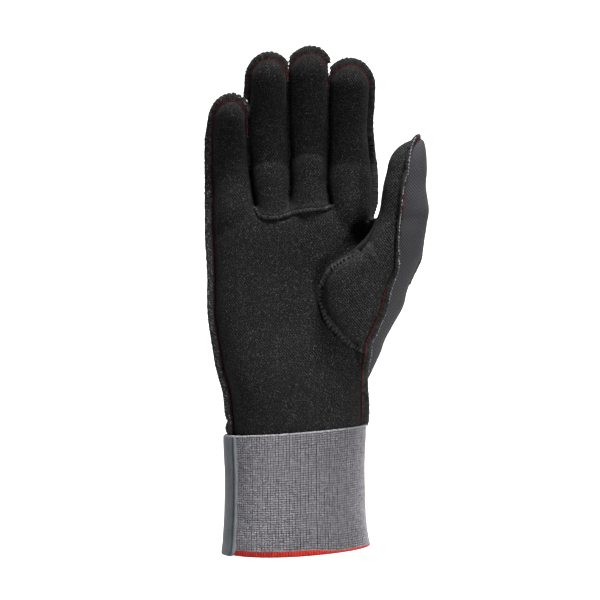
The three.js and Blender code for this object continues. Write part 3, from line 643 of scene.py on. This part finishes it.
def outline(form, left_start, right_end, lower=()):
    """Up a finger's left side, over its tip and down its right side, in the seam's surface."""
    tip = form.shoulder + form.rounding * np.sin(np.linspace(0, 1, 14)[1:-1] * math.pi / 2)
    rows = [(x, z) for x, z in lower]
    rows += [(form.edge(z, -1), z) for z in np.arange(left_start, form.shoulder, 1.5)]
    rows += [(form.edge(z, -1), z) for z in tip]
    rows += [(float(form.section(form.top)[0]), form.top)]
    rows += [(form.edge(z, 1), z) for z in tip[::-1]]
    rows += [(form.edge(z, 1), z) for z in np.arange(form.shoulder, right_end, -1.5)]
    rows = np.array(rows, float)
    pts = np.stack([rows[:, 0], side_seam_y(rows[:, 1], LENGTHS[form.lines[0]]), rows[:, 1]], axis=1)
    return resample((pts, directions(np.cross(np.gradient(pts, axis=0), (0, 1, 0)))))


def side_width(z):
    wide = TIP_FIN + (SIDE_FIN - TIP_FIN) * unit((CROTCH + 50 - z) / 12)
    return wide - 1.6 * unit((CUFF_HEIGHT + 9 - z) / 4)


palm_side = [(float(palm.edge(z, -1)), z) for z in np.arange(CUFF_HEIGHT - 2, CROTCH - 24, 2.0)]
little_path = outline(little, CROTCH - 16, little.shoulder - 8, palm_side)
ring_path = outline(ring, ring.shoulder - 16, ring.shoulder - 8)
middle_path = outline(middle, middle.shoulder - 8, middle.shoulder - 10)
index_path = outline(index, index.shoulder - 18, CROTCH - 12)


def thumb_point(z, side):
    """The thumb's seam at a height, in front where side is -1 and behind where it is 1."""
    x0, y0, half_width, half_depth, _ = thumb.section(z)
    x = float(thumb_seam_x(z))
    across = min(1, abs((x - x0) / half_width))
    return x, y0 + side * half_depth * (1 - across ** thumb.power) ** (1 / thumb.power), z


def thumb_path():
    pts, outs = [], []
    for z in np.arange(CUFF_HEIGHT + 3.4, THUMB_START + 3, 1.5):
        pts.append((float(palm.edge(z, 1)), side_seam_y(z), z))
        outs.append((1.0, 0.0, 0.0))
    for z in np.arange(THUMB_START + 16, thumb.shoulder, 1.5):
        lean = float(thumb_rows("lean", thumb_at(z)))
        x = float(thumb_seam_x(z))
        hit, _ = surface(x, z)
        pts.append(hit)
        outs.append((lean, -math.sqrt(1 - lean * lean), 0))
    lean = 0.4
    for angle in np.linspace(0, math.pi, 24):
        z = thumb.shoulder + (thumb.rounding - 0.3) * math.sin(angle)
        fade = abs(math.cos(angle))
        pts.append(thumb_point(z, -np.sign(math.cos(angle))))
        outs.append((lean * fade, -math.cos(angle), math.sin(angle)))
    for z in np.arange(thumb.shoulder - 2, CROTCH - 2, -1.5):
        pts.append(thumb_point(z, 1))
        outs.append((lean, math.sqrt(1 - lean * lean), 0))
    return resample((pts, outs))


def rear_path():
    pts, outs = [], []
    for z in np.arange(151.0, CROTCH - 4, 1.5):
        hit, normal, _, _ = tree.ray_cast(Vector((200, float(thumb_rear_y(z)), z)), Vector((-1, 0, 0)))
        if hit:
            pts.append(tuple(hit))
            outs.append((normal[0], normal[1], 0))
    return resample((pts, outs))


rng = np.random.default_rng(11)
cores, loops, reds, painted_glints = Parts(), Parts(), Parts(), Parts()


def add_fin(path, face, width, red=(), fleck=""):
    """red: ranges of heights with red stitches and their face, fleck: where pale loops of painted
    highlight go.
    """
    pts, outs = path
    widths = width(path) - 0.55
    fin = Fin((pts, outs), widths, face)
    # cloth edge inside the threads
    s = np.arange(0, fin.total, 0.6)
    point, along, out, side, wide = fin.at(s)
    wave = 0.18 * np.sin(2 * math.pi * s / STITCH)[:, None]
    turn = around(12)
    u = np.where(np.cos(turn) > 0, np.cos(turn), np.cos(turn) * 0.6)
    reach = (wide[:, None] + 0.1 + wave) * unit(u)[None, :] + 1.3 * np.clip(u, -1, 0)[None, :]
    thick = FIN_HALF * 0.86 * np.sin(turn)[None, :] * np.ones_like(reach)
    rings = point[:, None] + out[:, None] * reach[..., None] + side[:, None] * thick[..., None]
    cores.loft(rings)
    # looped threads round the edge
    for phase, radius, slant in ((0.0, 0.36, 0.42), (0.5, 0.33, 0.5)):
        start = np.arange(phase * STITCH, fin.total - STITCH, STITCH)
        start = start + rng.normal(0, 0.07, len(start))
        turn = np.linspace(0, 1, 13)
        swing = np.array([0.05, 0.2, 0.4, 0.62, 0.82, 0.97, 1.03, 0.97, 0.82, 0.62, 0.4, 0.2, 0.05])
        lift = np.array([0.9, 1.08, 1.18, 1.2, 1.12, 0.75, 0.0, -0.75, -1.12, -1.2, -1.18, -1.08, -0.9])
        where = start[:, None] + turn[None, :] * STITCH * slant * 2
        point, along, out, side, wide = fin.at(where)
        size = 1 + rng.normal(0, 0.05, len(start))[:, None, None]
        reach = wide[..., None] * swing[None, :, None] * size
        paths = point + out * reach + side * (FIN_HALF * lift[None, :, None])
        reference = fin.at(start + STITCH * slant)[1]
        thick = radius * (1 + rng.normal(0, 0.05, (len(start), 1))) * np.ones((1, len(turn)))
        loops.tubes(paths, thick, TUBE_SIDES, reference)
    # knots along the free edge
    s = np.arange(0.3 * STITCH, fin.total - 0.5, STITCH)
    point, along, out, side, wide = fin.at(s)
    t = np.linspace(-1, 1, 5)
    height = wide[:, None, None] + 0.1 + rng.normal(0, 0.07, (len(s), 1, 1))
    paths = point[:, None] + out[:, None] * height + along[:, None] * (t * 1.15)[None, :, None]
    paths = paths + side[:, None] * (0.35 * t)[None, :, None]
    loops.tubes(paths, np.array([0.3, 0.42, 0.46, 0.42, 0.3]), TUBE_SIDES, side)
    for low, high, sign in red:
        s = np.arange(0.5 * STITCH, fin.total - 1, STITCH)
        heights = fin.at(s)[0][:, 2]
        s = s[(heights > low) & (heights < high)]
        t = np.linspace(-1, 1, 6)
        where = s[:, None] + t[None, :] * 0.62 + rng.normal(0, 0.05, (len(s), 1))
        point, along, out, side, _ = fin.at(where)
        arch = (0.2 * (1 - t * t))[None, :, None]
        paths = point + out * 0.35 + sign * side * (FIN_HALF + 0.35 + arch)
        reds.tubes(paths, np.array([0.13, 0.25, 0.3, 0.3, 0.25, 0.13]), TUBE_SIDES, fin.at(s)[2])
    # pale flecks over the fin's face: painted highlight where the fin's face is lit
    if fleck == "face":
        s = np.arange(0, fin.total - 1, 1.2)
        s = s[rng.random(len(s)) < 0.75]
        t = np.linspace(-1, 1, 4)
        half = rng.uniform(0.2, 0.6, (len(s), 1))
        where = s[:, None] + t[None, :] * half + rng.normal(0, 0.3, (len(s), 1))
        point, along, out, side, wide = fin.at(where)
        share = rng.uniform(0.35, 0.95, (len(s), 1, 1)) + 0.08 * t[None, :, None]
        paths = point + out * wide[..., None] * share + side * (FIN_HALF * 1.25 + 0.3)
        thick = np.array([0.05, 0.13, 0.13, 0.05]) * rng.uniform(0.6, 1.2, (len(s), 1))
        painted_glints.tubes(paths, thick, TUBE_SIDES, fin.at(s)[2])
    # pale loops along the free edge: painted highlights on the black looped threads
    if fleck == "edge":
        s = np.arange(0.3 * STITCH, fin.total - 1, STITCH)
        kept = s[rng.random(len(s)) < 0.9]
        s = kept + rng.normal(0, 0.25, len(s))[:1]
        t = np.linspace(-1, 1, 5)
        where = s[:, None] + t[None, :] * rng.uniform(0.35, 0.95, (len(s), 1))
        point, along, out, side, wide = fin.at(where)
        tilt = rng.normal(0, 0.22, (len(s), 1, 1)) * t[None, :, None]
        paths = point + out * (wide[..., None] + 0.42 + tilt) + side * (0.35 + 1.2 * tilt)
        thick = np.array([0.13, 0.26, 0.32, 0.26, 0.13]) * rng.uniform(0.6, 1.3, (len(s), 1))
        painted_glints.tubes(paths, thick, TUBE_SIDES, fin.at(s)[3])


PALM_FACE = (0, -1, 0)


def tip_width(form, before=None, after=None, right_width=TIP_FIN, notch=0.0):
    """Full over the fingertip, and kept to the finger's own lane beside a neighbour."""
    def width(path):
        pts, outs = path
        x, z = pts[:, 0], pts[:, 2]
        wide = np.where(z > CROTCH + 58, TIP_FIN, side_width(z))
        wide = np.where(outs[:, 0] > 0.9, right_width, wide) + TIP_ROOM * unit(outs[:, 2])
        if form is index:
            wide = np.where(outs[:, 0] > 0.5, wide - 2.4 * unit((CROTCH + 4 - z) / 8), wide)
        for side, line, other in ((-1, form.lines[0], before), (1, form.lines[1], after)):
            if other is None:
                continue
            room = (lane(line, z) - x) * side - 0.2
            low = min(other.top, form.top) + TIP_ROOM
            free = 9 * unit((z - low + 1) / 4)
            overlap = 0.8 - notch * unit((z - low + 9) / 3)
            reach = (np.maximum(room, 0) + overlap) / np.maximum(side * outs[:, 0], 0.2) + free
            wide = np.where(side * outs[:, 0] > 0.05, np.minimum(wide, reach), wide)
        return wide
    return width


add_fin(little_path, PALM_FACE, tip_width(little, after=ring, notch=-1.5), [(0, 999, 1)], "face")
add_fin(ring_path, PALM_FACE, tip_width(ring, little, middle), [(0, 999, 1)])
add_fin(middle_path, PALM_FACE, tip_width(middle, ring, index, notch=1.2), [(0, 999, 1)])
add_fin(index_path, PALM_FACE, tip_width(index, middle, right_width=3.6, notch=1.2), [(259, 999, 1)])
thumb_line = thumb_path()


def thumb_width(path):
    pts, outs = path
    z = pts[:, 2]
    wrist = unit((96 - z) / 12) * unit((z - CUFF_HEIGHT - 2) / 4)
    crotch_end = unit((206 - z) / 14) * (outs[:, 1] > 0.3)
    return 3.3 + 1.2 * wrist - 2.2 * crotch_end


add_fin(
    thumb_line, (1, -0.1, 0), thumb_width,
    [(188, 999, 1), (93, 150, -1), (0, 93, 1)], "edge",
)
add_fin(rear_path(), (0, -1, 0), lambda path: 0.6 + 0.8 * unit((path[0][:, 2] - 150) / 14))

ridge, whip = Parts(), Parts()


def add_ridge(places, width, height, pitch, threads):
    pts, outs = [], []
    for x, z in places:
        hit, normal = surface(float(x), float(z))
        pts.append(hit)
        outs.append(normal * 0.4 + np.array([0.0, -1.0, 0.0]))
    pts, outs = resample((pts, outs), 0.5)
    line = Fin((pts, outs), height, (0, 0, 1))
    s = np.arange(0, line.total, 0.4)
    point, along, out, side, _ = line.at(s)
    lump = 1 + 0.36 * np.sin(2 * math.pi * s / pitch + 0.9 * np.sin(s)) + rng.normal(0, 0.1, len(s))
    turn = around(12)
    across = width / 2 * np.cos(turn)[None, :] * lump[:, None]
    up = height * np.sin(turn)[None, :] * lump[:, None] * np.where(np.sin(turn) > 0, 1, 0.5)[None, :]
    ridge.loft(point[:, None] + out[:, None] * up[..., None] + side[:, None] * across[..., None])
    start = np.arange(0, line.total - pitch, pitch)
    t = np.linspace(-1, 1, 7)
    for lean in threads:
        start = start + rng.normal(0, 0.15, len(start))
        where = start[:, None] + pitch * 0.5 + lean * t[None, :] * pitch * 0.45
        point, along, out, side, _ = line.at(where)
        arc = np.sqrt(1 - (t * 0.98) ** 2)
        stretch = rng.uniform(0.7, 1.3, (len(start), 1, 1))
        paths = point + out * (height * (0.25 + 1.1 * arc))[None, :, None] * stretch
        paths = paths + side * (width * 0.62 * t)[None, :, None] * stretch
        thick = rng.uniform(0.7, 1.35, (len(start), 1))
        thick = np.array([0.14, 0.32, 0.4, 0.44, 0.4, 0.32, 0.14]) * thick
        whip.tubes(paths, thick, TUBE_SIDES, line.at(start)[1])


root_z = np.linspace(GUSSET_BOTTOM, 168.5, 60)
add_ridge([(zone_edge(z) + 0.4, z) for z in root_z], 2.7, 0.85, 2.3, (1, -1, 0.4))
base_x = np.linspace(lane("ring", CROTCH) - 1, lane("index", CROTCH) + 2, 30)
add_ridge([(x, base_seam_z(x)) for x in base_x], 1.5, 0.45, 2.0, (1, -1))


# Cuff
def slope(x, z):
    share = unit(z / CUFF_HEIGHT)
    bottom = HEM_SLOPE * x + HEM_BOW * (2 * x / CUFF_WIDTH) ** 2
    return bottom * (1 - share) + EDGE_SLOPE * x * share


def cuff_out(z):
    return cuff_rows("out", z / CUFF_HEIGHT) * CUFF_WIDTH + 0 * z


turns = np.linspace(0, 2 * math.pi, 2881)
oval = np.stack([CUFF_WIDTH / 2 * np.cos(turns), CUFF_DEPTH / 2 * np.sin(turns)], axis=1)
oval_length = distances(oval)
GIRTH = oval_length[-1]


def angle_at(arc):
    return np.interp(np.mod(arc, GIRTH), oval_length, turns)


def cuff_point(angle, out, z):
    x = (CUFF_WIDTH / 2 + out) * np.cos(angle)
    y = (CUFF_DEPTH / 2 + out) * np.sin(angle)
    return np.stack([x, y, z + slope(x, z)], axis=-1)


def cuff_wave(angle, z):
    """Soft unevenness of the knit tube, which kicks out a little at the hem's thumb side."""
    kick = 1.5 * unit(np.cos(angle)) ** 4 * unit(1 - z / 16) ** 2
    return 0.22 * np.sin(3 * angle + 0.03 * z) + 0.16 * np.sin(5 * angle + 1.3 - 0.05 * z) + kick


def hem_edge(angle):
    """Height of the knit's lower edge over the hem's fold."""
    return 3.7 - 2.1 * unit((CUFF_WIDTH / 2 * np.cos(angle) - 10) / 14)


def knit():
    wales = int(round(GIRTH / WALE))
    rows = int((CUFF_HEIGHT - 3.0) / COURSE)
    wale = np.arange(wales)
    row = np.arange(rows)
    sunk = 0.7 * (np.mod(wale * 7, 53) < 1)
    low = hem_edge(angle_at((wale + 0.5) * GIRTH / wales))
    spacing = (CUFF_HEIGHT - 0.3 - low) / (rows - 1)
    shift = 0.03 * np.sin(wale * 1.7) + rng.normal(0, 0.02, wales)
    sway = 0.16 * np.sin(row * 0.3 + 0.11 * wale[:, None])
    arc = (wale + 0.5)[:, None] * GIRTH / wales + shift[:, None] + sway
    arc = arc + rng.normal(0, 0.03, (wales, rows))
    z0 = low[:, None] + row[None, :] * spacing[:, None] + rng.normal(0, 0.05, (wales, rows))
    fuller = rng.uniform(0.9, 1.1, (wales, rows))
    fuller[:, -1] = 1.45
    front, behind = Parts(), Parts()
    t = np.linspace(-1, 1, 3)
    for hand in (-1, 1):
        a = arc[..., None] + hand * np.array([0.1, 0.27, 0.19]) * WALE
        z = z0[..., None] + t * COURSE * 0.55
        angle = angle_at(a)
        lift = np.array([-0.05, 0.45, 0.05]) + 0 * a
        lift = lift + rng.normal(0, 0.07, arc.shape)[..., None] - 0.35 * sunk[:, None, None]
        path = cuff_point(angle, cuff_out(z) + cuff_wave(angle, z) + lift, z)
        is_front = np.sin(angle[..., 1]) < 0
        for parts, mask in ((front, is_front), (behind, ~is_front)):
            chosen = path[mask]
            turn = angle[..., 1][mask]
            reference = np.stack([np.cos(turn), np.sin(turn), 0 * turn], axis=1)
            parts.tubes(chosen, np.array([0.15, 0.35, 0.18]) * fuller[mask][:, None], 3, reference)
    return front, behind


def wall_of(rings):
    """A tube's wall, from rings that run up its outside and down its inside."""
    rings = np.array(rings)
    parts = Parts()
    parts.add(rings, grid_faces(*rings.shape[:2], closed_rows=True))
    return parts


# the cuff's shell wears a near-black backing: painted shade seen between the loops and inside the tube
def cuff_shell():
    angle = around(240)
    profile = [(z, -0.12) for z in np.linspace(1.0, CUFF_HEIGHT - 1.5, 34)]
    top = CUFF_HEIGHT - 0.3
    profile += [(top - 0.4, -0.3), (top, -0.9), (top, None), (top - 1.0, None)]
    profile += [(z, -1.5) for z in np.linspace(CUFF_HEIGHT - 2.5, 1.0, 16)]
    # the top turns inwards to the middle of the wrist's cloth
    x, y, half_width, half_depth, _ = palm.section(CUFF_HEIGHT)
    power = 2 / palm.power
    wrist_x = x + (half_width - 0.7) * np.sign(np.cos(angle)) * np.abs(np.cos(angle)) ** power
    wrist_y = y + (half_depth - 0.7) * np.sign(np.sin(angle)) * np.abs(np.sin(angle)) ** power
    rings = []
    for z, out in profile:
        zz = np.full_like(angle, z)
        if out is None:
            rings.append(np.stack([wrist_x, wrist_y, zz + slope(wrist_x, zz)], axis=-1))
        else:
            rings.append(cuff_point(angle, cuff_out(zz) + cuff_wave(angle, zz) + out, zz))
    return wall_of(rings)


def hem():
    wales = int(round(GIRTH / WALE))
    arc = np.linspace(0, GIRTH, wales * 6, endpoint=False)
    angle = angle_at(arc)
    rib = np.cos(2 * math.pi * wales * arc / GIRTH)
    profile = [
        (3.3, -0.35, 0), (3.0, -0.1, 0.2), (2.75, 0.15, 0.6), (2.4, 0.3, 1), (2.0, 0.38, 1),
        (1.5, 0.4, 1), (1.0, 0.35, 1), (0.45, 0.15, 0.8), (0.05, -0.2, 0.5), (-0.1, -0.8, 0.3),
        (0.05, -1.5, 0.3), (0.6, -2.2, 0.3), (1.4, -2.6, 0.6), (4.0, -2.75, 0.8), (7.0, -2.75, 0.8),
        (9.5, -2.7, 0.6), (10.0, -2.4, 0.2), (10.0, -1.9, 0), (5.0, -1.75, 0), (1.4, -1.6, 0),
        (0.9, -1.1, 0), (1.2, -0.6, 0), (3.1, -0.55, 0),
    ]
    rings = []
    for z, out, share in profile:
        outside = out > -1
        zz = z * (hem_edge(angle) / 3.1 if outside else 1.0) + 0.12 * np.sin(4 * angle + 0.5)
        reach = out + share * 0.2 * rib + 0.1 * np.sin(7 * angle) * share
        rings.append(cuff_point(angle, cuff_out(np.clip(zz, 0, 99)) + cuff_wave(angle, zz) + reach, zz))
    return wall_of(rings)


def tab():
    half = TAB_WIDTH / (CUFF_WIDTH + CUFF_DEPTH) * 2
    arc_scale = (CUFF_WIDTH + CUFF_DEPTH) / 4
    bottom, top = -0.6, CUFF_HEIGHT + 0.3
    heights = np.concatenate([
        bottom + np.array([0, 0.15, 0.45, 0.9, 1.5, 2.3, 3.2, 4.2]),
        np.linspace(4.8, top - 1.4, 44), [top - 0.8, top - 0.35, top - 0.08, top],
    ])
    outer_rows, inner_rows = [], []
    for z in heights:
        corner = max(0.0, 1 - (z - bottom) / 4)
        reach = half * (1 - 0.2 * corner * corner * corner)
        angle = np.linspace(math.pi - reach, math.pi + reach, 90)
        from_edge = (reach - np.abs(angle - math.pi)) * arc_scale
        end = min(1.0, max(0.0, (z - bottom) / 0.9))
        end_top = min(1.0, max(0.0, (top - z) / 1.2))
        thick = 0.95 * math.sqrt(1 - (1 - end) ** 2) * math.sqrt(1 - (1 - end_top) ** 2)
        round_side = np.sqrt(1 - unit(1 - from_edge / 0.9) ** 2)
        strip = 0.45 * bump(from_edge, 1.2, 0.7) - 0.8 * bump(from_edge, 2.7, 0.5)
        base = cuff_out(np.full_like(angle, max(z, 0))) + cuff_wave(angle, z)
        over = 0.35 * float(unit((6.0 - z) / 3))
        outer = base + 0.1 + over + (thick + strip * min(end, end_top)) * round_side
        inner = base - 0.2 + over * 0.9
        outer_rows.append(cuff_point(angle, outer, np.full_like(angle, z)))
        inner_rows.append(cuff_point(angle, inner, np.full_like(angle, z)))
    rings = np.array([np.concatenate([o, i[::-1]]) for o, i in zip(outer_rows, inner_rows)])
    parts = Parts()
    parts.loft(rings)
    return parts


# Materials
class Finish:
    """A material and its nodes, whose patterns lie in the object's own space."""

    def __init__(self, name):
        self.material = bpy.data.materials.new(name)
        self.material.use_nodes = True
        self.tree = self.material.node_tree
        self.shader = self.tree.nodes["Principled BSDF"]
        self.place = self.new("TexCoord").outputs["Object"]

    def new(self, kind, inputs=None, **settings):
        node = self.tree.nodes.new("ShaderNode" + kind)
        for key, value in settings.items():
            setattr(node, key, value)
        for key, value in (inputs or {}).items():
            if isinstance(value, bpy.types.NodeSocket):
                self.tree.links.new(value, node.inputs[key])
            else:
                node.inputs[key].default_value = value
        return node

    def math(self, operation, a, b=0.0, clamp=False):
        return self.new("Math", {0: a, 1: b}, operation=operation, use_clamp=clamp).outputs[0]

    def noise(self, scale, detail=2.0, roughness=0.5):
        inputs = {"Vector": self.place, "Scale": scale, "Detail": detail, "Roughness": roughness}
        return self.new("TexNoise", inputs).outputs["Fac"]

    def relief(self, height, strength, distance=0.0001):
        bumps = self.new("Bump", {"Strength": strength, "Distance": distance, "Height": height})
        self.tree.links.new(bumps.outputs[0], self.shader.inputs["Normal"])

    def surface(self, base, **values):
        """Links the colour, and sets numbers on the shader's own sockets."""
        self.tree.links.new(base, self.shader.inputs["Base Color"])
        for key, value in values.items():
            self.shader.inputs[key.replace("_", " ")].default_value = value
        return self.material

    def ramp(self, value, low, high):
        node = self.new("MapRange", {"Value": value, "From Min": low, "From Max": high})
        return node.outputs["Result"]

    def mix(self, factor, a, b):
        node = self.new("Mix", data_type="RGBA")
        for key, value in (("Factor", factor), ("A", a), ("B", b)):
            socket = [s for s in node.inputs if s.name == key and s.enabled][0]
            if isinstance(value, bpy.types.NodeSocket):
                self.tree.links.new(value, socket)
            else:
                socket.default_value = value
        return [s for s in node.outputs if s.enabled][0]

    def sum(self, a, share_a, b, share_b):
        return self.math("ADD", self.math("MULTIPLY", a, share_a), self.math("MULTIPLY", b, share_b))


def color(r, g, b):
    return (r, g, b, 1.0)


def fabric(name, dark, light, speck, twill, speck_share, strength=0.5):
    """Stretch fabric: fine diagonal lines with scattered lighter fibres."""
    n = Finish(name)
    x, y, z = n.new("SeparateXYZ", {0: n.place}).outputs
    # the lines run across the face that looks forwards or back, and up the sides by their depth
    facing = n.new("TexCoord").outputs["Normal"]
    sideways = n.math("ABSOLUTE", n.new("SeparateXYZ", {0: facing}).outputs[0])
    at_side = n.ramp(sideways, 0.62, 0.78)
    run = n.sum(y, at_side, x, n.math("SUBTRACT", 1.0, at_side))
    diagonal = n.math("ADD", run, n.math("MULTIPLY", z, 0.8))
    phase = n.sum(diagonal, 2 * math.pi / twill, n.noise(300.0), 1.5)
    lines = n.math("ADD", n.math("MULTIPLY", n.math("SINE", phase), 0.5), 0.5)
    grain = n.noise(2600.0, roughness=0.7)
    patch = n.noise(55.0, detail=4.0)
    spots = n.noise(2600.0, roughness=0.6)
    base = n.mix(n.ramp(n.sum(lines, 0.4, grain, 0.6), 0.35, 0.7), color(*dark), color(*light))
    mottled = n.mix(n.math("MULTIPLY", n.ramp(patch, 0.35, 0.7), 0.2), base, color(*light))
    dots = n.math("MULTIPLY", n.ramp(spots, speck_share, speck_share + 0.07), 0.9, clamp=True)
    n.relief(n.sum(lines, 0.5, grain, 0.8), strength, 0.00025)
    return n.surface(
        n.mix(dots, mottled, color(*speck)),
        Roughness=0.93, Specular_IOR_Level=0.12, Sheen_Weight=0.015, Sheen_Roughness=0.5,
    )


def thread(name, dark, light, scale, rough=0.75):
    """Spun yarn or thread, mottled along its length."""
    n = Finish(name)
    fine = n.noise(scale, detail=3.0)
    blend = n.sum(fine, 0.5, n.noise(420.0), 0.5)
    base = n.mix(n.ramp(blend, 0.35, 0.68), color(*dark), color(*light))
    n.relief(fine, 0.4)
    return n.surface(base, Roughness=rough, Specular_IOR_Level=0.3, Sheen_Weight=0.02)


def smooth_cloth(name, dark, light):
    """Close woven cloth of the side tab."""
    n = Finish(name)
    fine = n.noise(1800.0)
    blend = n.sum(n.noise(120.0, detail=4.0), 0.6, fine, 0.4)
    base = n.mix(n.ramp(blend, 0.35, 0.65), color(*dark), color(*light))
    n.relief(fine, 0.25)
    return n.surface(base, Roughness=0.6, Specular_IOR_Level=0.35)


BLACK = (0.001, 0.001, 0.001)
black = fabric("black_fabric", BLACK, (0.014, 0.014, 0.0145), (0.125, 0.125, 0.13), 0.0015, 0.605)
# a lighter copy of the black fabric for the thumb's front panel: painted light, as if that panel
# catches more light than the palm
lit_thumb_black = fabric("thumb_fabric_painted_light", BLACK, (0.03, 0.03, 0.0305), (0.18, 0.18, 0.185), 0.0015, 0.6)
grey = fabric(
    "grey_fabric", (0.034, 0.033, 0.037), (0.068, 0.067, 0.073), (0.11, 0.11, 0.12), 0.0016, 0.66, 0.3,
)
overlock = thread("overlock_thread", (0.003, 0.003, 0.003), (0.058, 0.058, 0.06), 1100.0)
core_cloth = thread("edge_cloth", (0.008, 0.008, 0.008), (0.03, 0.03, 0.03), 1800.0)
red_thread = thread("red_thread", (0.07, 0.003, 0.004), (0.29, 0.012, 0.015), 1500.0)
# pale thread, used only for the painted highlights on the seams
painted_highlight_thread = thread("painted_highlight_thread", (0.09, 0.09, 0.095), (0.46, 0.46, 0.48), 1500.0)
knit_yarn = thread("knit_yarn", (0.24, 0.23, 0.25), (0.5, 0.49, 0.52), 900.0)
# near-black backing of the cuff: painted shade in the gaps between stitches and inside the tube
knit_shade_backing = thread("knit_shade_backing", (0.012, 0.011, 0.013), (0.04, 0.038, 0.042), 1500.0)
hem_yarn = thread("hem_yarn", (0.36, 0.013, 0.008), (0.62, 0.030, 0.016), 1200.0, rough=0.65)
tab_cloth = smooth_cloth("tab_cloth", (0.12, 0.134, 0.155), (0.19, 0.205, 0.232))


def finish_piece(piece, material, slot, *nodes):
    piece.data.materials.clear()
    piece.data.materials.append(material)
    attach(piece, "root")
    if nodes:
        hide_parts(*nodes)


cloth = panels()
for node, material, slot in (
    ("palm_panel", black, "fabric_black"),
    ("finger_insert", black, "fabric_black"),
    ("thumb_front", lit_thumb_black, "fabric_black"),
    ("back_panel", grey, "fabric_grey"),
    ("thumb_back", grey, "fabric_grey"),
):
    finish_piece(cloth[node], material, slot, node)
seam_nodes = ["seam_little", "seam_ring", "seam_middle", "seam_index", "seam_thumb"]
finish_piece(loops.piece("overlock_loops"), overlock, "overlock_black", *seam_nodes)
finish_piece(cores.piece("overlock_cloth"), core_cloth, "overlock_black")
finish_piece(reds.piece("red_stitches"), red_thread, "hem_red")
finish_piece(painted_glints.piece("painted_highlight_loops"), painted_highlight_thread, "knit_grey")
ridge_nodes = ["seam_thumb_root", "seam_finger_base"]
finish_piece(ridge.piece("seam_ridges"), core_cloth, "overlock_black", *ridge_nodes)
finish_piece(whip.piece("ridge_threads"), overlock, "overlock_black")
knit_front, knit_behind = knit()
finish_piece(cuff_shell().piece("cuff_inside"), knit_shade_backing, "knit_grey", "cuff")
finish_piece(knit_front.piece("cuff_loops_front"), knit_yarn, "knit_grey")
finish_piece(knit_behind.piece("cuff_loops_back"), knit_yarn, "knit_grey")
finish_piece(hem().piece("hem_band"), hem_yarn, "hem_red", "hem")
finish_piece(tab().piece("side_tab_cloth"), tab_cloth, "tab_grey", "side_tab")


# Studio
def add_camera():
    camera = bpy.data.cameras.new("camera")
    camera.sensor_width = 36.0
    camera.lens = camera.sensor_width * CAMERA_DISTANCE / FRAME_HEIGHT
    holder = bpy.data.objects.new("camera", camera)
    angle = math.radians(CAMERA_ELEVATION)
    back = Vector((0.0, -math.cos(angle), math.sin(angle)))
    holder.location = TARGET + back * CAMERA_DISTANCE
    holder.rotation_euler = back.to_track_quat("Z", "Y").to_euler()
    bpy.context.scene.collection.objects.link(holder)
    bpy.context.scene.camera = holder


def add_light(name, kind, place, target, power, **settings):
    light = bpy.data.lights.new(name, kind)
    light.energy = power
    for key, value in settings.items():
        setattr(light, key, value)
    holder = bpy.data.objects.new(name, light)
    holder.location = place
    holder.rotation_euler = (Vector(place) - target).to_track_quat("Z", "Y").to_euler()
    bpy.context.scene.collection.objects.link(holder)


def add_stage():
    """A floor that sweeps up into a backdrop, in millimetres like every other mesh."""
    floor_z, sweep, half_width = -450.0, 800.0, 3000.0
    profile = [(-500.0, floor_z), (450.0, floor_z), (900.0, floor_z)]
    for a in np.linspace(0, math.pi / 2, 16)[1:]:
        profile.append((900.0 + sweep * math.sin(a), floor_z + sweep - sweep * math.cos(a)))
    profile.append((1700.0, 2600.0))
    pts, faces = [], []
    for i, (y, z) in enumerate(profile):
        pts += [(-half_width, y, z), (half_width, y, z)]
        if i:
            faces.append((2 * i - 2, 2 * i - 1, 2 * i + 1, 2 * i))
    floor = make_mesh("backdrop", np.array(pts), faces)
    for name, scale, dark, light, rough, glow in (
        ("backdrop_paint", 3.0, 0.94, 0.96, 0.9, 0.9),
        ("floor_paint", 5.0, 0.6, 0.64, 0.5, 0.0),
    ):
        n = Finish(name)
        paint = n.mix(n.noise(scale), color(dark, dark, dark), color(light, light, light))
        floor.data.materials.append(n.surface(
            paint, Roughness=rough, Emission_Color=color(1, 1, 1), Emission_Strength=glow,
        ))
    floor.data.polygons[0].material_index = 1


add_camera()
add_stage()
add_light("key", "AREA", (0.3, -0.44, 1.75), TARGET, 55, shape="DISK", size=0.4)
add_light("fill", "AREA", (-1.4, -0.9, 0.5), TARGET, 0.7, shape="DISK", size=1.0)
add_light(
    "low_beam", "SPOT", (0.75, -1.35, 0.02), Vector((0.045, 0, 0.078)), 94,
    spot_size=math.radians(15.0), spot_blend=1.0, shadow_soft_size=0.12,
)
world = bpy.data.worlds.new("studio")
world.use_nodes = True
background = world.node_tree.nodes["Background"]
background.inputs["Color"].default_value = color(1, 1, 1)
background.inputs["Strength"].default_value = 0.1
bpy.context.scene.world = world
bpy.context.scene.view_settings.view_transform = "Standard"
